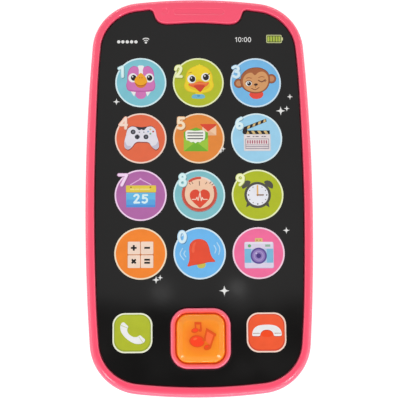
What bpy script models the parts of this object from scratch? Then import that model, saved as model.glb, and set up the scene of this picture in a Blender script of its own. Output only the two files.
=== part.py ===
"""Toy cell phone, lying on its back: screen up (+Z), top of the phone towards +Y, width along X.

The origin is the centre of the flat back. All dimensions below are in millimetres and are turned
into metres where vertices are made.
"""

import math

import bmesh
import bpy
from mathutils import Matrix, Vector, geometry

for old in list(bpy.data.objects):
    bpy.data.objects.remove(old, do_unlink=True)

MM = 0.001

# ---- driving dimensions (mm) ------------------------------------------------------------
LENGTH, WIDTH, THICKNESS = 150.0, 84.5, 20.0
SIDE_RADIUS, END_RADIUS, CORNER_RADIUS = 750.0, 200.0, 19.0
GAP = 0.3  # clearance kept between neighbouring pieces

PARTING_Z = 10.0
WALL = 2.0
FLOOR = 2.0
BACK_FILLET = 5.0
RIM_WIDTH = 3.35
RIM_FILLET = 2.4
DECK_LOW, DECK_TOP = 14.9, 16.5
FILM_LOW, FILM_TOP = 16.8, 17.1
PANEL_LOW, PANEL_TOP = 17.4, 18.7

BUTTON_Y = -53.9
RING_HALF, RING_CORNER, RING_WIDTH = 11.0, 6.4, 1.75
BUTTON_GAP = 0.33
BUTTON_CROWN_Z = 20.9
BUTTON_TRAVEL = 1.2
FLANGE_LOW, FLANGE_TOP, FLANGE_OUT = 13.2, 14.6, 1.3

CELL_RADIUS, CELL_LENGTH, CELL_X, CELL_Z = 5.25, 44.5, 5.65, 7.75
BAY_X, BAY_Y0, BAY_Y1, BAY_TOP = 11.4, -23.5, 27.5, 13.3
BAY_WALL, BAY_ROOF = 1.5, 1.2
DOOR_X, DOOR_Y0, DOOR_Y1, DOOR_CORNER = 14.5, -33.5, 30.5, 3.0
DOOR_RECESS, DOOR_THICK = 1.9, 1.6
DOOR_SCREW_Y = -28.6

SPEAKER_Y = 50.0
BOARD_LOW, BOARD_TOP = 8.0, 9.6
SWITCH_Y, SWITCH_TRAVEL = -50.0, 4.0
TAIL_Y = -38.4

HOUSING_SCREWS = [(sx * x, y) for y, x in ((60.5, 28.5), (2.0, 33.5), (-60.5, 28.5)) for sx in (-1, 1)]
BOARD_SCREWS = [(-21.0, -41.0), (21.0, -41.0), (0.0, -67.4)]


# ---- outlines ---------------------------------------------------------------------------
def quarter_centres():
    """Centres of the side, corner and end arcs of one quarter of the outline."""
    side = Vector((WIDTH / 2 - SIDE_RADIUS, 0.0))
    end = Vector((0.0, LENGTH / 2 - END_RADIUS))
    r1, r2 = SIDE_RADIUS - CORNER_RADIUS, END_RADIUS - CORNER_RADIUS
    apart = end - side
    d = apart.length
    along = (r1 * r1 - r2 * r2 + d * d) / (2 * d)
    out = math.sqrt(r1 * r1 - along * along)
    unit = apart / d
    corner = side + unit * along + Vector((-unit.y, unit.x)) * out
    if corner.x < 0 or corner.y < 0:
        corner = side + unit * along - Vector((-unit.y, unit.x)) * out
    return side, corner, end


def quarter(inset, n_side, n_corner, n_end):
    """Points from (+x, 0) to just before (0, +y), with the outline moved in by inset."""
    side, corner, end = quarter_centres()
    a1 = math.atan2(corner.y - side.y, corner.x - side.x)
    a2 = math.atan2(corner.y - end.y, corner.x - end.x)
    points = []
    for centre, radius, low, high, n in (
        (side, SIDE_RADIUS, 0.0, a1, n_side),
        (corner, CORNER_RADIUS, a1, a2, n_corner),
        (end, END_RADIUS, a2, math.pi / 2, n_end),
    ):
        for i in range(n):
            a = low + (high - low) * i / n
            points.append((centre.x + (radius - inset) * math.cos(a), centre.y + (radius - inset) * math.sin(a)))
    return points


def outline(inset, n_side=2, n_corner=8, n_end=3):
    """The phone's outline, counter-clockwise, moved in by inset."""
    first = quarter(inset, n_side, n_corner, n_end)
    top = (0.0, LENGTH / 2 - inset)
    half = first + [top] + [(-x, y) for x, y in reversed(first)]
    return half + [(x, -y) for x, y in reversed(half[1:-1])]


# The right half of the notch's edge, from the opening's top edge down and in to the middle.
NOTCH_HALF = [(18.3, 70.72), (17.35, 70.2), (16.75, 69.0), (16.2, 67.5), (15.6, 66.6), (14.7, 65.8), (13.4, 65.32), (12.0, 65.16), (9.0, 65.28), (4.5, 65.58), (0.0, 65.7)]


def opening():
    """The edge of the front opening: the outline moved in by the rim, with the notch at the top."""
    points = [p for p in outline(RIM_WIDTH) if not (abs(p[0]) < 19.5 and p[1] > 0)]
    first = next(i for i, p in enumerate(points) if p[0] < 0 and p[1] > 0)
    notch = NOTCH_HALF + [(-x, y) for x, y in reversed(NOTCH_HALF[:-1])]
    return points[:first] + notch + points[first:]


def grown(points, by):
    """A loop with each point moved out along its own normal by a small distance."""
    moved = []
    n = len(points)
    for i in range(n):
        before, here, after = (Vector(points[j % n]) for j in (i - 1, i, i + 1))
        one, two = (here - before).normalized(), (after - here).normalized()
        normal = Vector((one.y + two.y, -one.x - two.x)).normalized()
        spread = max(0.6, normal.dot(Vector((one.y, -one.x))))
        moved.append((here.x + normal.x * by / spread, here.y + normal.y * by / spread))
    return moved


def rounded(cx, cy, hx, hy, r, n=5):
    """A rectangle with rounded corners, counter-clockwise."""
    points = []
    for sx, sy, start in ((1, 1, 0.0), (-1, 1, 90.0), (-1, -1, 180.0), (1, -1, 270.0)):
        for i in range(n + 1):
            a = math.radians(start + 90.0 * i / n)
            points.append((cx + sx * (hx - r) + r * math.cos(a), cy + sy * (hy - r) + r * math.sin(a)))
    return points


def circle(cx, cy, r, n=14):
    return [(cx + r * math.cos(2 * math.pi * i / n), cy + r * math.sin(2 * math.pi * i / n)) for i in range(n)]


def cross(cx, cy, reach, half):
    """The outline of a cross recess."""
    a, b = reach, half
    return [(cx + x, cy + y) for x, y in ((a, b), (b, b), (b, a), (-b, a), (-b, b), (-a, b), (-a, -b), (-b, -b), (-b, -a), (b, -a), (b, -b), (a, -b))]


def inside(point, loop):
    x, y = point
    hit = False
    for (x1, y1), (x2, y2) in zip(loop, loop[1:] + loop[:1]):
        if (y1 > y) != (y2 > y) and x < x1 + (y - y1) * (x2 - x1) / (y2 - y1):
            hit = not hit
    return hit


# ---- building closed meshes from loops ----------------------------------------------------
class Body:
    """A closed mesh made of level loops, walls between them and flat faces with holes."""

    def __init__(self):
        self.bm = bmesh.new()

    def loop(self, points, z):
        return [self.bm.verts.new((x * MM, y * MM, z * MM)) for x, y in points]

    def wall(self, a, b):
        n = len(a)
        for i in range(n):
            j = (i + 1) % n
            self.bm.faces.new((a[i], a[j], b[j], b[i]))

    def stack(self, rings):
        """Walls through (points, z) rings; returns the first and the last loop."""
        loops = [self.loop(points, z) for points, z in rings]
        for a, b in zip(loops, loops[1:]):
            self.wall(a, b)
        return loops[0], loops[-1]

    def face(self, outer, holes=()):
        if not holes:
            self.bm.faces.new(outer)
            return
        verts, edges = [], []
        for ring in (outer, *holes):
            base = len(verts)
            verts += ring
            edges += [(base + i, base + (i + 1) % len(ring)) for i in range(len(ring))]
        flat = [Vector((v.co.x / MM, v.co.y / MM)) for v in verts]
        made = geometry.delaunay_2d_cdt(flat, edges, [], 0, 1e-5)
        rings = [[(v.co.x / MM, v.co.y / MM) for v in ring] for ring in (outer, *holes)]
        for tri in made[2]:
            centre = sum((made[0][i] for i in tri), Vector((0, 0))) / 3
            if inside(centre, rings[0]) and not any(inside(centre, ring) for ring in rings[1:]):
                self.bm.faces.new([verts[made[3][i][0]] for i in tri])

    def finish(self, name, material, origin=(0, 0, 0), smooth=35.0):
        bmesh.ops.recalc_face_normals(self.bm, faces=self.bm.faces)
        if self.bm.calc_volume(signed=True) < 0:
            bmesh.ops.reverse_faces(self.bm, faces=self.bm.faces)
        at = Vector(origin) * MM
        bmesh.ops.translate(self.bm, verts=self.bm.verts, vec=-at)
        mesh = bpy.data.meshes.new(name)
        self.bm.to_mesh(mesh)
        self.bm.free()
        mesh.shade_smooth()
        mesh.set_sharp_from_angle(angle=math.radians(smooth))
        obj = bpy.data.objects.new(name, mesh)
        obj.location = at
        mesh.materials.append(material)
        bpy.context.scene.collection.objects.link(obj)
        return obj


def lathe(profile, n=20, centre=(0.0, 0.0), turn=None):
    """A closed body turned about a vertical axis. A profile that starts or ends on the axis is capped there."""
    body = Body()
    loops = [body.loop(circle(centre[0], centre[1], r, n), z) for r, z in profile if r > 0]
    for a, b in zip(loops, loops[1:]):
        body.wall(a, b)
    if profile[0][0] > 0 and profile[-1][0] > 0:
        body.wall(loops[-1], loops[0])
    else:
        body.bm.faces.new(loops[0])
        body.bm.faces.new(loops[-1])
    if turn:
        bmesh.ops.transform(body.bm, matrix=turn, verts=body.bm.verts)
    return body


def prism(points, z0, z1):
    body = Body()
    low, high = body.stack([(points, z0), (points, z1)])
    body.face(low)
    body.face(high)
    return body


def tube(name, route, radius, material, step=3.0, resolution=2, smooth_route=True):
    """A round wire along a smooth curve through the route's points."""
    if smooth_route:
        points = []
        ends = [route[0], *route, route[-1]]
        for i in range(1, len(ends) - 2):
            p0, p1, p2, p3 = (Vector(p) for p in ends[i - 1 : i + 3])
            n = max(2, round((p2 - p1).length / step))
            for k in range(n):
                t = k / n
                points.append(0.5 * (2 * p1 + (p2 - p0) * t + (2 * p0 - 5 * p1 + 4 * p2 - p3) * t * t + (3 * p1 - p0 - 3 * p2 + p3) * t**3))
        points.append(Vector(route[-1]))
    else:
        points = [Vector(p) for p in route]
    curve = bpy.data.curves.new(name, "CURVE")
    curve.dimensions = "3D"
    curve.bevel_depth = radius * MM
    curve.bevel_resolution = resolution
    curve.use_fill_caps = True
    spline = curve.splines.new("POLY")
    spline.points.add(len(points) - 1)
    for point, p in zip(spline.points, points):
        point.co = (p.x * MM, p.y * MM, p.z * MM, 1.0)
    curve.materials.append(material)
    obj = bpy.data.objects.new(name, curve)
    bpy.context.scene.collection.objects.link(obj)
    return obj


def material(name, colour, roughness, metallic=0.0, coat=0.0):
    made = bpy.data.materials.new(name)
    made.use_nodes = True
    shader = made.node_tree.nodes["Principled BSDF"]
    shader.inputs["Base Color"].default_value = (*colour, 1.0)
    shader.inputs["Roughness"].default_value = roughness
    shader.inputs["Metallic"].default_value = metallic
    shader.inputs["Coat Weight"].default_value = coat
    made.diffuse_color = (*colour, 1.0)
    return made


PINK = material("pink_plastic", (0.93, 0.10, 0.19), 0.35)
PANEL = material("panel_gloss", (0.022, 0.020, 0.019), 0.12, coat=0.5)
ORANGE = material("orange_plastic", (1.0, 0.26, 0.05), 0.32)
FILM = material("clear_film", (0.75, 0.70, 0.55), 0.4)
SILICONE = material("silicone", (0.80, 0.80, 0.78), 0.6)
BOARD = material("board_laminate", (0.02, 0.20, 0.08), 0.45)
BLACK = material("black_plastic", (0.02, 0.02, 0.02), 0.5)
EPOXY = material("epoxy", (0.015, 0.015, 0.017), 0.3)
CAN = material("capacitor_sleeve", (0.03, 0.05, 0.20), 0.4)
IVORY = material("connector_plastic", (0.85, 0.82, 0.72), 0.5)
WHITE = material("white_plastic", (0.85, 0.85, 0.85), 0.4)
STEEL = material("steel", (0.55, 0.55, 0.56), 0.3, 1.0)
NICKEL = material("nickel_plate", (0.75, 0.73, 0.68), 0.22, 1.0)
MAGNET = material("magnet", (0.35, 0.35, 0.36), 0.4, 1.0)
PAPER = material("speaker_paper", (0.06, 0.06, 0.06), 0.8)
FOAM = material("gasket_foam", (0.05, 0.05, 0.05), 0.95)
CELL = material("cell_sleeve", (0.10, 0.28, 0.55), 0.35)
RED_WIRE = material("red_wire", (0.70, 0.03, 0.02), 0.45)
BLACK_WIRE = material("black_wire", (0.02, 0.02, 0.02), 0.45)


# ---- front housing --------------------------------------------------------------------------
def rim_arc(centre_in, centre_z, radius, n):
    """(inset, z) points of the rim's outer rounding, from the top down to the side."""
    return [
        (centre_in - radius * math.sin(math.pi / 2 * i / n), centre_z + radius * math.cos(math.pi / 2 * i / n))
        for i in range(n + 1)
    ]


def ring_loop(inset):
    return rounded(0, BUTTON_Y, RING_HALF - inset, RING_HALF - inset, RING_CORNER - inset, 6)


def front_housing():
    body = Body()
    edge = opening()
    # recess wall, rounded over onto the rim's top
    deck_edge, crest_in = body.stack(
        [(edge, DECK_TOP), (edge, THICKNESS - 0.5), (grown(edge, 0.15), THICKNESS - 0.14), (grown(edge, 0.5), THICKNESS)]
    )
    # rim's outer rounding, side and inner wall
    arc = rim_arc(RIM_FILLET, THICKNESS - RIM_FILLET, RIM_FILLET, 5)
    rings = [(outline(i), z) for i, z in arc]
    rings += [(outline(0), PARTING_Z + 0.5), (outline(0.35), PARTING_Z + 0.15), (outline(WALL), PARTING_Z + 0.15), (outline(WALL), DECK_LOW)]
    crest_out, deck_under = body.stack(rings)
    body.face(crest_out, [crest_in])
    # raised ring round the home button, and the hole down through the deck
    half = RING_WIDTH / 2
    crown = [(half - half * math.cos(math.pi * i / 6), THICKNESS - 0.9 + 0.9 * math.sin(math.pi * i / 6)) for i in range(7)]
    ring_foot, hole_low = body.stack([(ring_loop(0), DECK_TOP)] + [(ring_loop(i), z) for i, z in crown] + [(ring_loop(RING_WIDTH), DECK_LOW)])
    # slot for the film's tail
    slot = rounded(0, TAIL_Y, 7.2, 0.8, 0.6, 2)
    slot_top, slot_low = body.stack([(slot, DECK_TOP), (slot, DECK_LOW)])
    body.face(deck_edge, [ring_foot, slot_top])
    holes = [hole_low, slot_low]
    for x, y in HOUSING_SCREWS:
        foot, tip = body.stack([(circle(x, y, 3.2, 12), DECK_LOW), (circle(x, y, 3.0, 12), PARTING_Z - 0.1)])
        mouth, bottom = body.stack([(circle(x, y, 1.45, 12), PARTING_Z - 0.1), (circle(x, y, 1.45, 12), 13.8)])
        body.face(tip, [mouth])
        body.face(bottom)
        holes.append(foot)
    for x, y in BOARD_SCREWS:
        foot, tip = body.stack([(circle(x, y, 2.6, 12), DECK_LOW), (circle(x, y, 2.4, 12), BOARD_TOP + GAP)])
        mouth, bottom = body.stack([(circle(x, y, 1.3, 12), BOARD_TOP + GAP), (circle(x, y, 1.3, 12), 13.6)])
        body.face(tip, [mouth])
        body.face(bottom)
        holes.append(foot)
    body.face(deck_under, holes)
    return body.finish("front_housing", PINK)


# ---- rear housing ---------------------------------------------------------------------------
def grille_slots():
    """Seven upright slots that fill a circle over the speaker."""
    slots = []
    for k in range(-3, 4):
        x = 3.4 * k
        half = math.sqrt(11.0**2 - x * x)
        slots.append(rounded(x, SPEAKER_Y, 0.8, half - 1.0, 0.79, 3))
    return slots


def rear_housing():
    body = Body()
    arc = [(BACK_FILLET - BACK_FILLET * math.sin(math.pi / 2 * i / 6), BACK_FILLET - BACK_FILLET * math.cos(math.pi / 2 * i / 6)) for i in range(7)]
    rings = [(outline(i), z) for i, z in arc]
    rings += [(outline(0), PARTING_Z - 0.5), (outline(0.35), PARTING_Z - 0.15)]
    # tongue that stands inside the front housing's wall
    rings += [(outline(WALL + GAP), PARTING_Z - 0.15), (outline(WALL + GAP), 11.0), (outline(WALL + 1.3), 11.0), (outline(WALL + 1.3), 8.1)]
    rings += [(outline(2.2), 6.9), (outline(2.2), 4.6), (outline(3.0), 2.9), (outline(4.6), FLOOR)]
    back, floor = body.stack(rings)
    back_holes, floor_holes = [], []
    # battery bay: recess for the door, ledge, bay walls and roof
    mid_y, half_y = (DOOR_Y0 + DOOR_Y1) / 2, (DOOR_Y1 - DOOR_Y0) / 2
    recess = rounded(0, mid_y, DOOR_X, half_y, DOOR_CORNER, 4)
    mouth, ledge = body.stack([(recess, 0.0), (recess, DOOR_RECESS)])
    bay_mid, bay_half = (BAY_Y0 + BAY_Y1) / 2, (BAY_Y1 - BAY_Y0) / 2
    bay = rounded(0, bay_mid, BAY_X, bay_half, 1.0, 2)
    bay_mouth, bay_roof = body.stack([(bay, DOOR_RECESS), (bay, BAY_TOP)])
    body.face(bay_roof)
    hole = circle(0, DOOR_SCREW_Y, 1.35, 12)
    screw_mouth, screw_end = body.stack([(hole, DOOR_RECESS), (hole, 8.0)])
    body.face(screw_end)
    body.face(ledge, [bay_mouth, screw_mouth])
    surround = rounded(0, mid_y, DOOR_X + 2.0, half_y + 2.0, DOOR_CORNER + 2.0, 4)
    foot, shelf = body.stack([(surround, FLOOR), (surround, 3.6)])
    shell = rounded(0, bay_mid, BAY_X + BAY_WALL, bay_half + BAY_WALL, 2.5, 2)
    shell_foot, roof = body.stack([(shell, 3.6), (shell, BAY_TOP + BAY_ROOF)])
    body.face(roof)
    post_foot, post_top = body.stack([(circle(0, DOOR_SCREW_Y, 3.0, 12), 3.6), (circle(0, DOOR_SCREW_Y, 2.9, 12), 9.0)])
    body.face(post_top)
    body.face(shelf, [shell_foot, post_foot])
    back_holes.append(mouth)
    floor_holes.append(foot)
    # speaker grille and the ring that holds the speaker
    slot_tops = []
    for slot in grille_slots():
        low, high = body.stack([(slot, 0.0), (slot, FLOOR)])
        back_holes.append(low)
        slot_tops.append(high)
    outer, top_out = body.stack([(circle(0, SPEAKER_Y, 15.9, 24), FLOOR), (circle(0, SPEAKER_Y, 15.9, 24), 5.0)])
    top_in, inner = body.stack([(circle(0, SPEAKER_Y, 14.6, 24), 5.0), (circle(0, SPEAKER_Y, 14.6, 24), FLOOR)])
    body.face(top_out, [top_in])
    body.face(inner, slot_tops)
    floor_holes.append(outer)
    # switch recess and slot
    dish = rounded(0, SWITCH_Y, 6.6, 3.2, 1.6, 3)
    slot = rounded(0, SWITCH_Y, 4.5, 1.85, 0.5, 2)
    dish_mouth, dish_floor = body.stack([(dish, 0.0), (dish, 0.8)])
    slot_low, slot_high = body.stack([(slot, 0.8), (slot, FLOOR)])
    body.face(dish_floor, [slot_low])
    back_holes.append(dish_mouth)
    floor_holes.append(slot_high)
    # bosses with counterbores for the housing screws
    for x, y in HOUSING_SCREWS:
        bore_mouth, seat = body.stack([(circle(x, y, 2.6, 12), 0.0), (circle(x, y, 2.6, 12), 4.0)])
        hole_low, hole_top = body.stack([(circle(x, y, 1.5, 12), 4.0), (circle(x, y, 1.5, 12), 9.6)])
        body.face(seat, [hole_low])
        boss_foot, boss_top = body.stack([(circle(x, y, 3.6, 12), FLOOR), (circle(x, y, 3.4, 12), 9.6)])
        body.face(boss_top, [hole_top])
        back_holes.append(bore_mouth)
        floor_holes.append(boss_foot)
    body.face(back, back_holes)
    body.face(floor, floor_holes)
    obj = body.finish("rear_housing", PINK)
    # slots through the bay's lower end wall for the contact tabs
    for k, x in enumerate((-CELL_X, CELL_X)):
        cutter = prism(rounded(x, BAY_Y0 - BAY_WALL / 2, 3.6, 2.2, 0.2, 1), 11.4, 12.8).finish(f"tab_slot_cutter_{k}", BLACK)
        cutter.hide_render = True
        cutter.display_type = "WIRE"
        cut = obj.modifiers.new(f"tab_slot_{k}", "BOOLEAN")
        cut.operation = "DIFFERENCE"
        cut.solver = "EXACT"
        cut.object = cutter
    return obj


# ---- panel, film and button -----------------------------------------------------------------
def screen_panel():
    body = Body()
    edge = grown(opening(), -GAP)
    under, top = body.stack([(edge, PANEL_LOW), (edge, PANEL_TOP - 0.25), (grown(edge, -0.25), PANEL_TOP)])
    hole_low, hole_top = body.stack([(ring_loop(-GAP), PANEL_LOW), (ring_loop(-GAP), PANEL_TOP - 0.2), (ring_loop(-GAP - 0.2), PANEL_TOP)])
    body.face(under, [hole_low])
    body.face(top, [hole_top])
    return body.finish("screen_panel", PANEL)


def touch_film():
    body = Body()
    edge = grown(opening(), -0.8)
    under, top = body.stack([(edge, FILM_LOW), (edge, FILM_TOP)])
    hole_low, hole_top = body.stack([(ring_loop(-0.8), FILM_LOW), (ring_loop(-0.8), FILM_TOP)])
    tail = rounded(0, TAIL_Y, 6.0, 0.15, 0.05, 1)
    tail_top, tail_low = body.stack([(tail, FILM_LOW), (tail, 12.6)])
    body.face(tail_low)
    body.face(under, [hole_low, tail_top])
    body.face(top, [hole_top])
    return body.finish("touch_film", FILM)


def button_loop(inset):
    half = RING_HALF - RING_WIDTH - BUTTON_GAP - inset
    return rounded(0, BUTTON_Y, half, half, max(0.6, RING_CORNER - RING_WIDTH - BUTTON_GAP - inset), 6)


def home_button():
    body = Body()
    top = BUTTON_CROWN_Z
    crown = [(3.4, top), (2.0, top - 0.18), (1.0, top - 0.62), (0.35, top - 1.15), (0.0, top - 1.9)]
    rings = [(button_loop(i), z) for i, z in crown]
    rings += [(button_loop(0), FLANGE_TOP), (button_loop(-FLANGE_OUT), FLANGE_TOP), (button_loop(-FLANGE_OUT), FLANGE_LOW), (button_loop(1.5), FLANGE_LOW), (button_loop(1.5), 18.6)]
    crest, ceiling = body.stack(rings)
    body.face(crest)
    stem_root, stem_tip = body.stack([(circle(0, BUTTON_Y, 2.9, 12), 18.6), (circle(0, BUTTON_Y, 2.6, 12), FLANGE_LOW)])
    body.face(stem_tip)
    body.face(ceiling, [stem_root])
    return body.finish("home_button", ORANGE, (0, BUTTON_Y, FLANGE_LOW))


def home_dome():
    low = BOARD_TOP + GAP
    high = FLANGE_LOW - GAP
    profile = [(6.4, low), (6.4, low + 0.6), (4.9, low + 0.7), (3.5, high - 0.7), (2.9, high), (2.3, high)]
    body = Body()
    loops = [body.loop(circle(0, BUTTON_Y, r, 16), z) for r, z in profile]
    inner = [(2.2, high - 0.9), (2.9, high - 1.3), (4.2, low + 0.35), (4.6, low)]
    loops_in = [body.loop(circle(0, BUTTON_Y, r, 16), z) for r, z in inner]
    for a, b in zip(loops, loops[1:]):
        body.wall(a, b)
    for a, b in zip(loops_in, loops_in[1:]):
        body.wall(a, b)
    body.face(loops[-1])
    body.face(loops_in[0])
    body.wall(loops_in[-1], loops[0])
    return body.finish("home_button_dome", SILICONE)


# ---- board and what is on it ------------------------------------------------------------------
def main_board():
    body = Body()
    edge = [(24.5, -36.0), (24.5, -58.0), (20.5, -66.0), (10.0, -70.4), (-10.0, -70.4), (-20.5, -66.0), (-24.5, -58.0), (-24.5, -36.0)]
    low, high = body.stack([(edge, BOARD_LOW), (edge, BOARD_TOP)])
    lows, highs = [], []
    for x, y in BOARD_SCREWS:
        a, b = body.stack([(circle(x, y, 1.5, 12), BOARD_LOW), (circle(x, y, 1.5, 12), BOARD_TOP)])
        lows.append(a)
        highs.append(b)
    body.face(low, lows)
    body.face(high, highs)
    return body.finish("main_board", BOARD)


def screw(name, x, y, z_head, head_r, head_h, shank_r, length, reach):
    """A pan-head screw, head down, its cross recess open at the bottom."""
    body = Body()
    n = 12
    seat = z_head + head_h
    rings = [(circle(x, y, head_r * 0.82, n), z_head), (circle(x, y, head_r, n), z_head + head_h * 0.45), (circle(x, y, head_r, n), seat)]
    rings += [(circle(x, y, shank_r, n), seat), (circle(x, y, shank_r, n), seat + length - 0.8), (circle(x, y, shank_r * 0.4, n), seat + length)]
    bottom, tip = body.stack(rings)
    mark = cross(x, y, reach, reach * 0.24)
    mouth, end = body.stack([(mark, z_head), (mark, z_head + head_h * 0.6)])
    body.face(bottom, [mouth])
    body.face(end)
    body.face(tip)
    return body.finish(name, STEEL, (x, y, z_head))


def board_parts():
    main_board()
    # potted sound chip, a low dome on the board's underside
    dome = [(4.6, BOARD_LOW - GAP), (4.3, BOARD_LOW - 0.75), (3.3, BOARD_LOW - 1.3), (1.6, BOARD_LOW - 1.6)]
    lathe([(0, 0), *dome, (0, 0)], 16, (-14.0, -55.0)).finish("sound_chip", EPOXY)
    can = [(2.5, BOARD_LOW - GAP), (2.5, BOARD_LOW - 4.6), (2.1, BOARD_LOW - 5.0)]
    lathe([(0, 0), *can, (0, 0)], 14, (15.0, -56.5)).finish("board_capacitor", CAN)
    # connector block, with the slot that takes the film's tail
    body = Body()
    block = rounded(0, TAIL_Y, 7.4, 1.6, 0.3, 1)
    slot = rounded(0, TAIL_Y, 6.3, 0.45, 0.1, 1)
    low, top = body.stack([(block, BOARD_TOP + GAP), (block, 13.4)])
    mouth, deep = body.stack([(slot, 13.4), (slot, 12.2)])
    body.face(low)
    body.face(deep)
    body.face(top, [mouth])
    body.finish("film_connector", IVORY)
    for k, (x, y) in enumerate(BOARD_SCREWS):
        screw(f"board_screw_{k + 1}", x, y, BOARD_LOW - GAP - 1.2, 2.0, 1.2, 1.0, 5.0, 1.2)


def power_switch():
    prism(rounded(0, SWITCH_Y, 6.2, 2.6, 0.4, 1), 4.7, BOARD_LOW - GAP).finish("power_switch_body", STEEL)
    x = -SWITCH_TRAVEL / 2
    body = Body()
    grip = rounded(x, SWITCH_Y, 2.1, 1.5, 0.4, 2)
    flange = rounded(x, SWITCH_Y, 5.4, 3.0, 0.5, 2)
    stem = rounded(x, SWITCH_Y, 1.0, 0.8, 0.2, 2)
    bottom, top = body.stack([(grown(grip, -0.3), 0.35), (grip, 0.6), (grip, FLOOR + GAP), (flange, FLOOR + GAP), (flange, 3.2), (stem, 3.2), (stem, 4.4)])
    body.face(bottom)
    body.face(top)
    body.finish("power_switch_knob", WHITE, (x, SWITCH_Y, 0.6))


# ---- speaker ----------------------------------------------------------------------------------
def speaker():
    at = (0.0, SPEAKER_Y)
    lathe([(13.9, 2.3), (13.9, 2.9), (12.2, 2.9), (12.2, 2.3)], 24, at).finish("speaker_gasket", FOAM)
    frame = [(14.2, 3.2), (14.2, 4.1), (12.8, 4.4), (10.2, 7.2), (3.0, 7.2), (3.0, 6.4), (9.7, 6.4), (12.2, 3.9), (12.2, 3.2)]
    lathe(frame, 24, at).finish("speaker_frame", STEEL)
    cone = [(2.8, 4.5), (9.0, 3.0), (10.2, 2.85), (11.8, 3.25), (11.8, 3.55), (10.2, 3.2), (9.1, 3.35), (2.9, 4.9)]
    lathe([(0, 0), *cone, (0, 0)], 24, at).finish("speaker_cone", PAPER)
    lathe([(0, 0), (7.2, 7.5), (7.5, 7.8), (7.5, 10.1), (7.2, 10.4), (0, 0)], 20, at).finish("speaker_magnet", MAGNET)


# ---- battery door, cells and contacts ------------------------------------------------------------
def battery_door():
    body = Body()
    mid_y, half_y = (DOOR_Y0 + DOOR_Y1) / 2, (DOOR_Y1 - DOOR_Y0) / 2
    plate = rounded(0, mid_y, DOOR_X - GAP, half_y - GAP, DOOR_CORNER - GAP, 4)
    outer_face, inner_face = body.stack([(grown(plate, -0.3), 0.0), (plate, 0.3), (plate, DOOR_THICK)])
    # counterbored hole for the captive screw, in a round pad
    bore_mouth, seat = body.stack([(circle(0, DOOR_SCREW_Y, 2.7, 14), 0.0), (circle(0, DOOR_SCREW_Y, 2.7, 14), 1.1)])
    hole_low, hole_top = body.stack([(circle(0, DOOR_SCREW_Y, 1.3, 12), 1.1), (circle(0, DOOR_SCREW_Y, 1.3, 12), DOOR_THICK)])
    body.face(seat, [hole_low])
    outer_holes = [bore_mouth]
    # finger scoops: three shallow grooves across the door
    for k in range(3):
        groove = rounded(0, 20.5 + 2.6 * k, 6.5, 0.6, 0.5, 2)
        low, high = body.stack([(groove, 0.0), (grown(groove, -0.15), 0.5)])
        body.face(high)
        outer_holes.append(low)
    body.face(outer_face, outer_holes)
    # ribs inside, between the cells' places
    body.face(inner_face, [hole_top])
    return body.finish("battery_door", PINK, (0, mid_y, 0))


def cell(name, x, tip_y, towards):
    """An AAA cell along Y, its tip at tip_y and pointing towards +1 or -1."""
    profile = [(4.6, -CELL_LENGTH + 0.0), (5.05, -CELL_LENGTH + 0.25), (CELL_RADIUS, -CELL_LENGTH + 0.7), (CELL_RADIUS, -1.6), (4.9, -1.15), (3.6, -1.0), (1.9, -0.95), (1.8, -0.15), (1.5, 0.0)]
    turn = Matrix.Translation(Vector((x, tip_y, CELL_Z)) * MM) @ Matrix.Rotation(math.radians(-90.0 * towards), 4, "X")
    lathe([(0, 0), *profile, (0, 0)], 18, (0, 0), turn).finish(name, CELL)


def contacts():
    inner_low, inner_high = BAY_Y0 + GAP, BAY_Y1 - GAP
    for name, x in (("contact_negative", -CELL_X), ("contact_positive", CELL_X)):
        side = [(inner_low + 0.4, 3.6), (inner_low + 0.4, 12.3), (inner_low - 3.3, 12.3), (inner_low - 3.3, 11.9), (inner_low, 11.9), (inner_low, 3.6)]
        body = Body()
        loops = [[body.bm.verts.new((px * MM, y * MM, z * MM)) for y, z in side] for px in (x - 3.2, x + 3.2)]
        body.wall(*loops)
        body.face(loops[0])
        body.face(loops[1])
        body.finish(name, NICKEL)
    plate = rounded(0, 7.6, 10.4, 4.0, 0.8, 2)
    body = Body()
    loops = [[body.bm.verts.new((px * MM, y * MM, pz * MM)) for px, pz in plate] for y in (inner_high - 0.4, inner_high)]
    body.wall(*loops)
    body.face(loops[0])
    body.face(loops[1])
    body.finish("contact_bridge", NICKEL)


def spring(name, x, wide_y, narrow_y):
    """A conical coil along Y, wide at the contact and narrow at the cell."""
    turns, per_turn, wire = 3.2, 13, 0.3
    n = int(turns * per_turn)
    start, end = wide_y + math.copysign(wire + GAP, narrow_y - wide_y), narrow_y - math.copysign(wire + GAP, narrow_y - wide_y)
    route = []
    for i in range(n + 1):
        t = i / n
        r = 3.7 - 1.5 * t
        a = 2 * math.pi * turns * t
        route.append((x + r * math.cos(a), start + (end - start) * t, CELL_Z + r * math.sin(a)))
    tube(name, route, wire, STEEL, resolution=1, smooth_route=False)


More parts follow.
